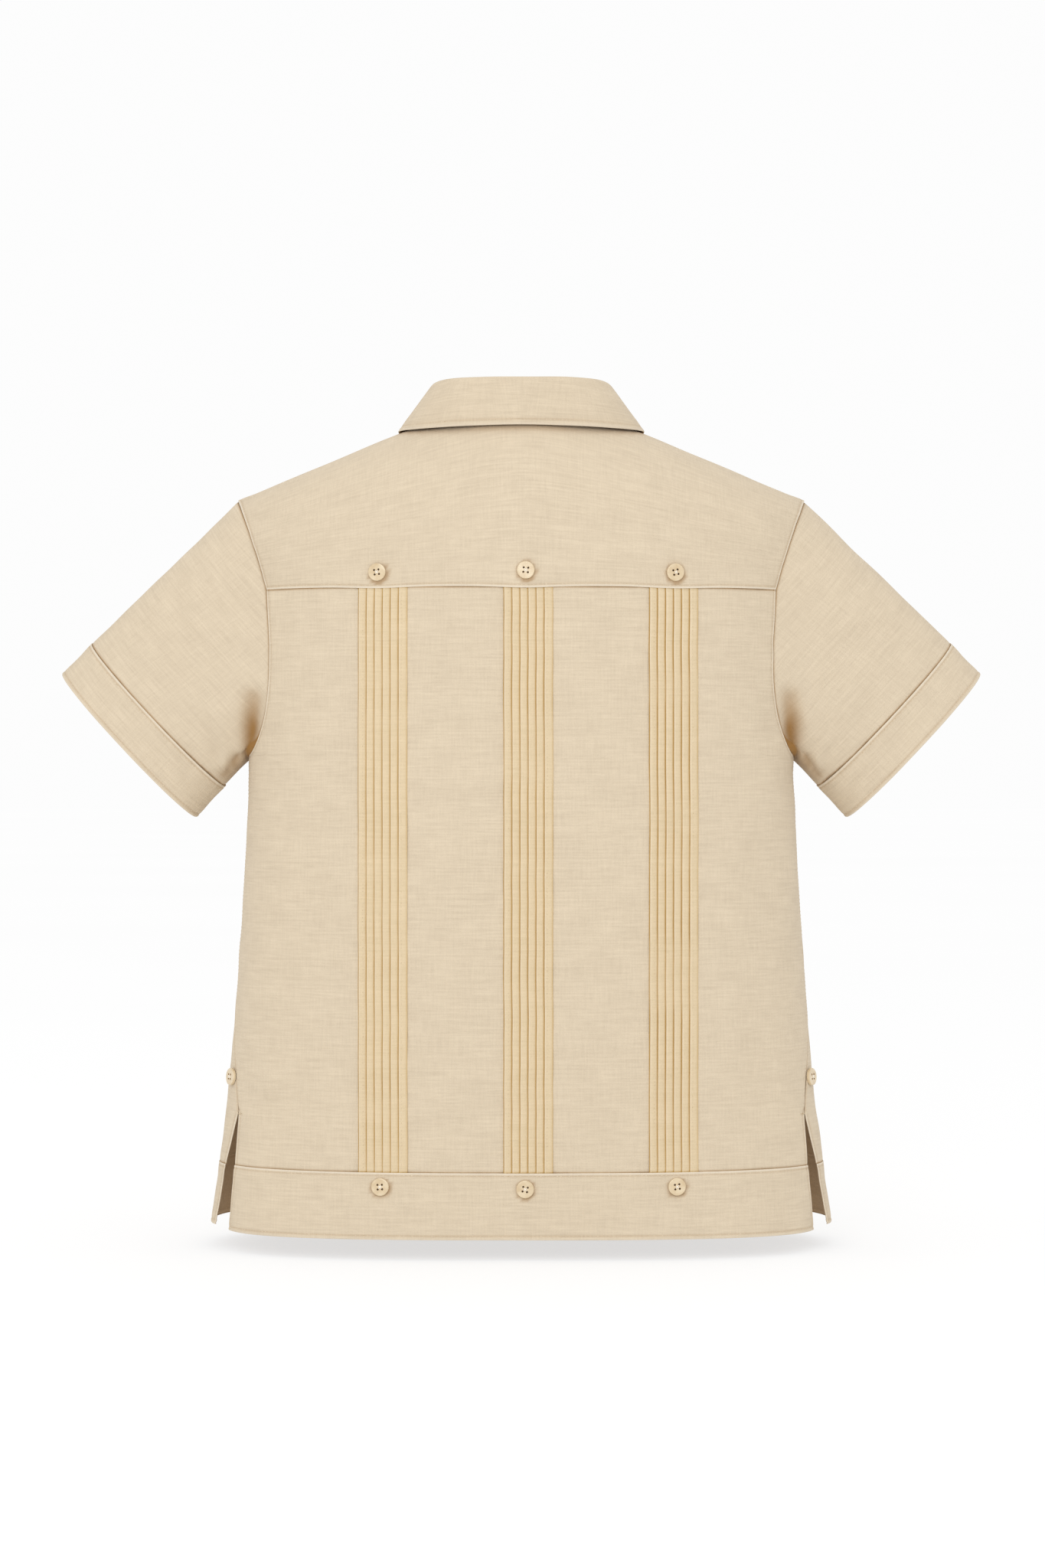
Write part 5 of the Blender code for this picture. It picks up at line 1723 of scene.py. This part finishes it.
def button_shade(points: Array, row: str, strength: float = 0.60, radius: float = 0.0064,
                 softness: float = 0.0002) -> Array:
    """Shade on the cloth round the buttons of a row, a little low and to the wearer's right of each.

    Args:
        points: the cloth's points.
        row: the buttons' row.
        strength: how much of the warm shade it has.
        radius: how far from each button's middle it reaches.
        softness: how far its rim fades.

    Returns:
        The shade at each point.
    """
    shade = np.zeros(points.shape[:-1])
    for button in BACK_BUTTONS:
        if button.row == row:
            away = np.hypot(points[..., 0] - button.x + 0.0006, points[..., 2] - button.z + 0.0008)
            shade += strength / (1 + np.exp((away - radius) / softness))
    return shade


@dataclass
class Buttons:
    """Four-hole resin buttons, sewn on with a cross of thread."""
    shirt: Shirt
    radius: float = 0.0057
    thick: float = 0.0022
    rim: float = 0.0015
    recess: float = 0.0008
    hole: float = 0.0007
    pitch: float = 0.0029
    lift: float = 0.0008
    side_z: float = -0.4330
    side_y: float = 0.0225
    side_tilt: float = math.radians(8.0)
    turns: tuple = (7, -5, 12, 3, -9, 6, 0, 0)
    front_top_z: float = -0.064
    front_pitch: float = 0.080
    front_count: int = 6
    front_lift: float = 0.0014
    step: float = 0.0005
    bevel: float = 0.0006
    strand: tuple = (0.00075, 0.00060)

    def turned(self) -> bpy.types.Object:
        """The button's body: a turned disc with a round raised rim and four holes, its back at the origin."""
        deselect_all()
        bpy.ops.mesh.primitive_cylinder_add(vertices=40, radius=self.radius, depth=self.thick,
                                            location=(0, 0, self.thick / 2))
        button = bpy.context.object
        button.name = "button_turned"
        bpy.ops.object.transform_apply(location=True, rotation=True, scale=True)
        for face in button.data.polygons:
            face.select = face.normal.z > 0.9
        bpy.ops.object.mode_set(mode="EDIT")
        bpy.ops.mesh.select_mode(type="FACE")
        bpy.ops.mesh.inset(thickness=self.rim)
        bpy.ops.mesh.inset(thickness=self.step)
        bpy.ops.transform.translate(value=(0, 0, -self.recess))
        bpy.ops.object.mode_set(mode="OBJECT")
        bevel = button.modifiers.new("Round", "BEVEL")
        bevel.width, bevel.segments, bevel.limit_method = self.bevel, 3, "ANGLE"
        bevel.angle_limit = math.radians(25)
        apply_all(button)
        self.pierce(button)
        bpy.ops.object.shade_smooth_by_angle(angle=math.radians(40))
        return button

    def pierce(self, button: bpy.types.Object) -> None:
        """Cut the four holes."""
        half = self.pitch / 2
        for x in (-half, half):
            for y in (-half, half):
                deselect_all()
                bpy.ops.mesh.primitive_cylinder_add(vertices=14, radius=self.hole, depth=self.thick * 4,
                                                    location=(x, y, 0))
                pin = bpy.context.object
                cut = button.modifiers.new("Hole", "BOOLEAN")
                cut.operation, cut.solver, cut.object = "DIFFERENCE", "EXACT", pin
                apply_all(button)
                bpy.data.objects.remove(pin)

    def crossed(self) -> bpy.types.Object:
        """The cross of thread in the button's middle."""
        strands = []
        for turn in (45, -45):
            deselect_all()
            bpy.ops.mesh.primitive_uv_sphere_add(segments=10, ring_count=8, radius=0.5)
            strand = bpy.context.object
            strand.scale = (self.pitch * 1.05, *self.strand)
            strand.rotation_euler = (0, 0, math.radians(turn))
            strand.location = (0, 0, self.thick - self.recess + 0.00012)
            bpy.ops.object.transform_apply(location=True, rotation=True, scale=True)
            strands.append(strand)
        for strand in strands:
            strand.select_set(True)
        bpy.context.view_layer.objects.active = strands[0]
        bpy.ops.object.join()
        bpy.ops.object.shade_smooth()
        return bpy.context.object

    def set_copy(self, pattern: bpy.types.Object, name: str, place: Matrix) -> bpy.types.Object:
        """A copy of a pattern piece with its own mesh, laid at a place."""
        mesh = pattern.data.copy()
        mesh.transform(place)
        copy = bpy.data.objects.new(name, mesh)
        bpy.context.collection.objects.link(copy)
        return copy

    def places(self) -> list[tuple[str, Vector, Vector]]:
        """Name, point on the cloth and outward direction of every button."""
        found = []
        for button in BACK_BUTTONS:
            on = FORM.on_yoke if button.row == "yoke" else FORM.on_back
            found.append((f"button_{button.row}_{button.side}", *self.facing(on, button.x, button.z)))
        point, out = self.facing(self.on_side, self.side_y, self.side_z)
        point += out * (self.radius * math.sin(self.side_tilt))
        out = Matrix.Rotation(self.side_tilt, 3, "Z") @ out
        for name, way in (("left", 1), ("right", -1)):
            flip = Matrix.Diagonal((way, 1.0, 1.0))
            found.append((f"button_side_{name}", flip @ point, flip @ out))
        for number in range(self.front_count):
            z = self.front_top_z - number * self.front_pitch
            here, above = FORM.on_chest_middle(z), FORM.on_chest_middle(z + 0.001)
            out = Vector((0.0, here[2] - above[2], above[1] - here[1])).normalized()
            found.append((f"button_front_{number + 1}", Vector(here) + out * self.front_lift, out))
        return found

    @staticmethod
    def on_side(y: float, z: float) -> Array:
        """Point of the left front at a depth and a height."""
        return FORM.point(Side.FRONT, z, FORM.angle_at_y(Side.FRONT, z, float(y)))

    def hole_walls(self, button: bpy.types.Object) -> Array:
        """Material numbers of a button's faces: 1 inside its holes, for their painted shade, 0 elsewhere."""
        half, walls = self.pitch / 2, []
        for face in button.data.polygons:
            away = math.hypot(abs(face.center.x) - half, abs(face.center.y) - half)
            walls.append(abs(face.normal.z) < 0.3 and away < self.hole)
        return np.array(walls, np.int32)

    @staticmethod
    def facing(surface: Any, first: float, z: float) -> tuple[Vector, Vector]:
        """A surface's point and the direction out of it."""
        step = 0.0008
        here = surface(first, z)
        out = np.cross(surface(first - step, z) - surface(first + step, z), surface(first, z + step) - here)
        out = Vector(np.ravel(out)).normalized()
        here = Vector(np.ravel(here))
        if out.dot(Vector((here.x, here.y, 0.0))) < 0:
            out = -out
        return here, out

    def build(self) -> None:
        """Make every button and its thread."""
        body, cross = self.turned(), self.crossed()
        walls = self.hole_walls(body)
        for number, (name, point, out) in enumerate(self.places()):
            turn = Matrix.Rotation(math.radians(self.turns[number % len(self.turns)]), 4, "Z")
            facing = out.to_track_quat("Z", "Y").to_matrix().to_4x4()
            place = Matrix.Translation(point + out * self.lift) @ facing @ turn
            disc = self.shirt.dress(self.set_copy(body, f"{name}_resin", place), RESIN.name, Slot.RESIN, name)
            # The hole walls take the darker resin of painted shade
            disc.data.materials.append(self.shirt.finishes[HOLE_SHADE.name])
            disc.data.polygons.foreach_set("material_index", walls)
            self.shirt.dress(self.set_copy(cross, f"{name}_thread", place), HOLE_THREAD.name, Slot.LINEN)
        for pattern in (body, cross):
            bpy.data.objects.remove(pattern)


@dataclass(frozen=True)
class Lamp:
    """A square soft light and where it stands."""
    name: str
    place: tuple
    size: float
    power: float


@dataclass
class Studio:
    """Pale floor, soft light and the camera level with the shirt's middle."""
    floor_z: float = -0.546
    floor_glow: float = 0.66
    floor_radius: float = 40.0
    floor_greys: tuple = (0.34, 0.32)
    camera_x: float = -0.0008
    camera_y: float = 2.3
    camera_z: float = -0.240
    lens: float = 79.3
    sensor: float = 36.0
    world: float = 0.98
    lamps: tuple = (Lamp("key", (0.40, 2.6, 0.75), 1.3, 18.5), Lamp("overhead", (0.0, 0.3, 2.6), 1.6, 3.5))
    aim: tuple = (0.0, 0.0, -0.25)

    def build(self) -> None:
        """Set everything around the shirt."""
        bpy.context.scene.view_settings.view_transform = "Standard"
        self.make_floor()
        self.make_world()
        for lamp in self.lamps:
            self.make_light(lamp)
        self.make_camera()

    def make_floor(self) -> None:
        """A wide disc that fades into the white behind it."""
        deselect_all()
        bpy.ops.mesh.primitive_circle_add(vertices=96, radius=self.floor_radius, fill_type="NGON",
                                          location=(0, 0, self.floor_z))
        floor = bpy.context.object
        floor.name = "floor"
        light, dark = ((grey, grey, grey, 1.0) for grey in self.floor_greys)
        floor.data.materials.append(PlainFinish("floor_paint", light, dark, self.floor_glow).make())

    def make_world(self) -> None:
        """Even pale light from all round."""
        world = bpy.data.worlds.new("studio")
        bpy.context.scene.world = world
        world.use_nodes = True
        background = world.node_tree.nodes["Background"]
        background.inputs["Color"].default_value = WHITE
        background.inputs["Strength"].default_value = self.world

    def make_light(self, lamp: Lamp) -> None:
        """A soft light that faces the shirt."""
        data = bpy.data.lights.new(lamp.name, "AREA")
        data.shape, data.size, data.energy = "SQUARE", lamp.size, lamp.power
        light = bpy.data.objects.new(lamp.name, data)
        light.location = lamp.place
        light.rotation_euler = (Vector(self.aim) - Vector(lamp.place)).to_track_quat("-Z", "Y").to_euler()
        bpy.context.collection.objects.link(light)

    def make_camera(self) -> None:
        """The camera, behind the wearer and level."""
        data = bpy.data.cameras.new("camera")
        data.lens, data.sensor_width = self.lens, self.sensor
        camera = bpy.data.objects.new("camera", data)
        camera.location = (self.camera_x, self.camera_y, self.camera_z)
        camera.rotation_euler = (math.radians(90), 0, math.radians(180))
        bpy.context.collection.objects.link(camera)
        bpy.context.scene.camera = camera


def main() -> None:
    """Load the frame, build every part and set the studio."""
    logging.basicConfig(level=logging.INFO, format="%(name)s %(message)s")
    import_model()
    deselect_all()
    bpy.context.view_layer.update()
    shirt = Shirt()
    for part in (Back(shirt), Yoke(shirt), Fronts(shirt), Sleeves(shirt), Collar(shirt), Buttons(shirt)):
        part.build()
    Studio().build()
    LOG.info("%d pieces", shirt.count)


if __name__ == "__main__":
    main()
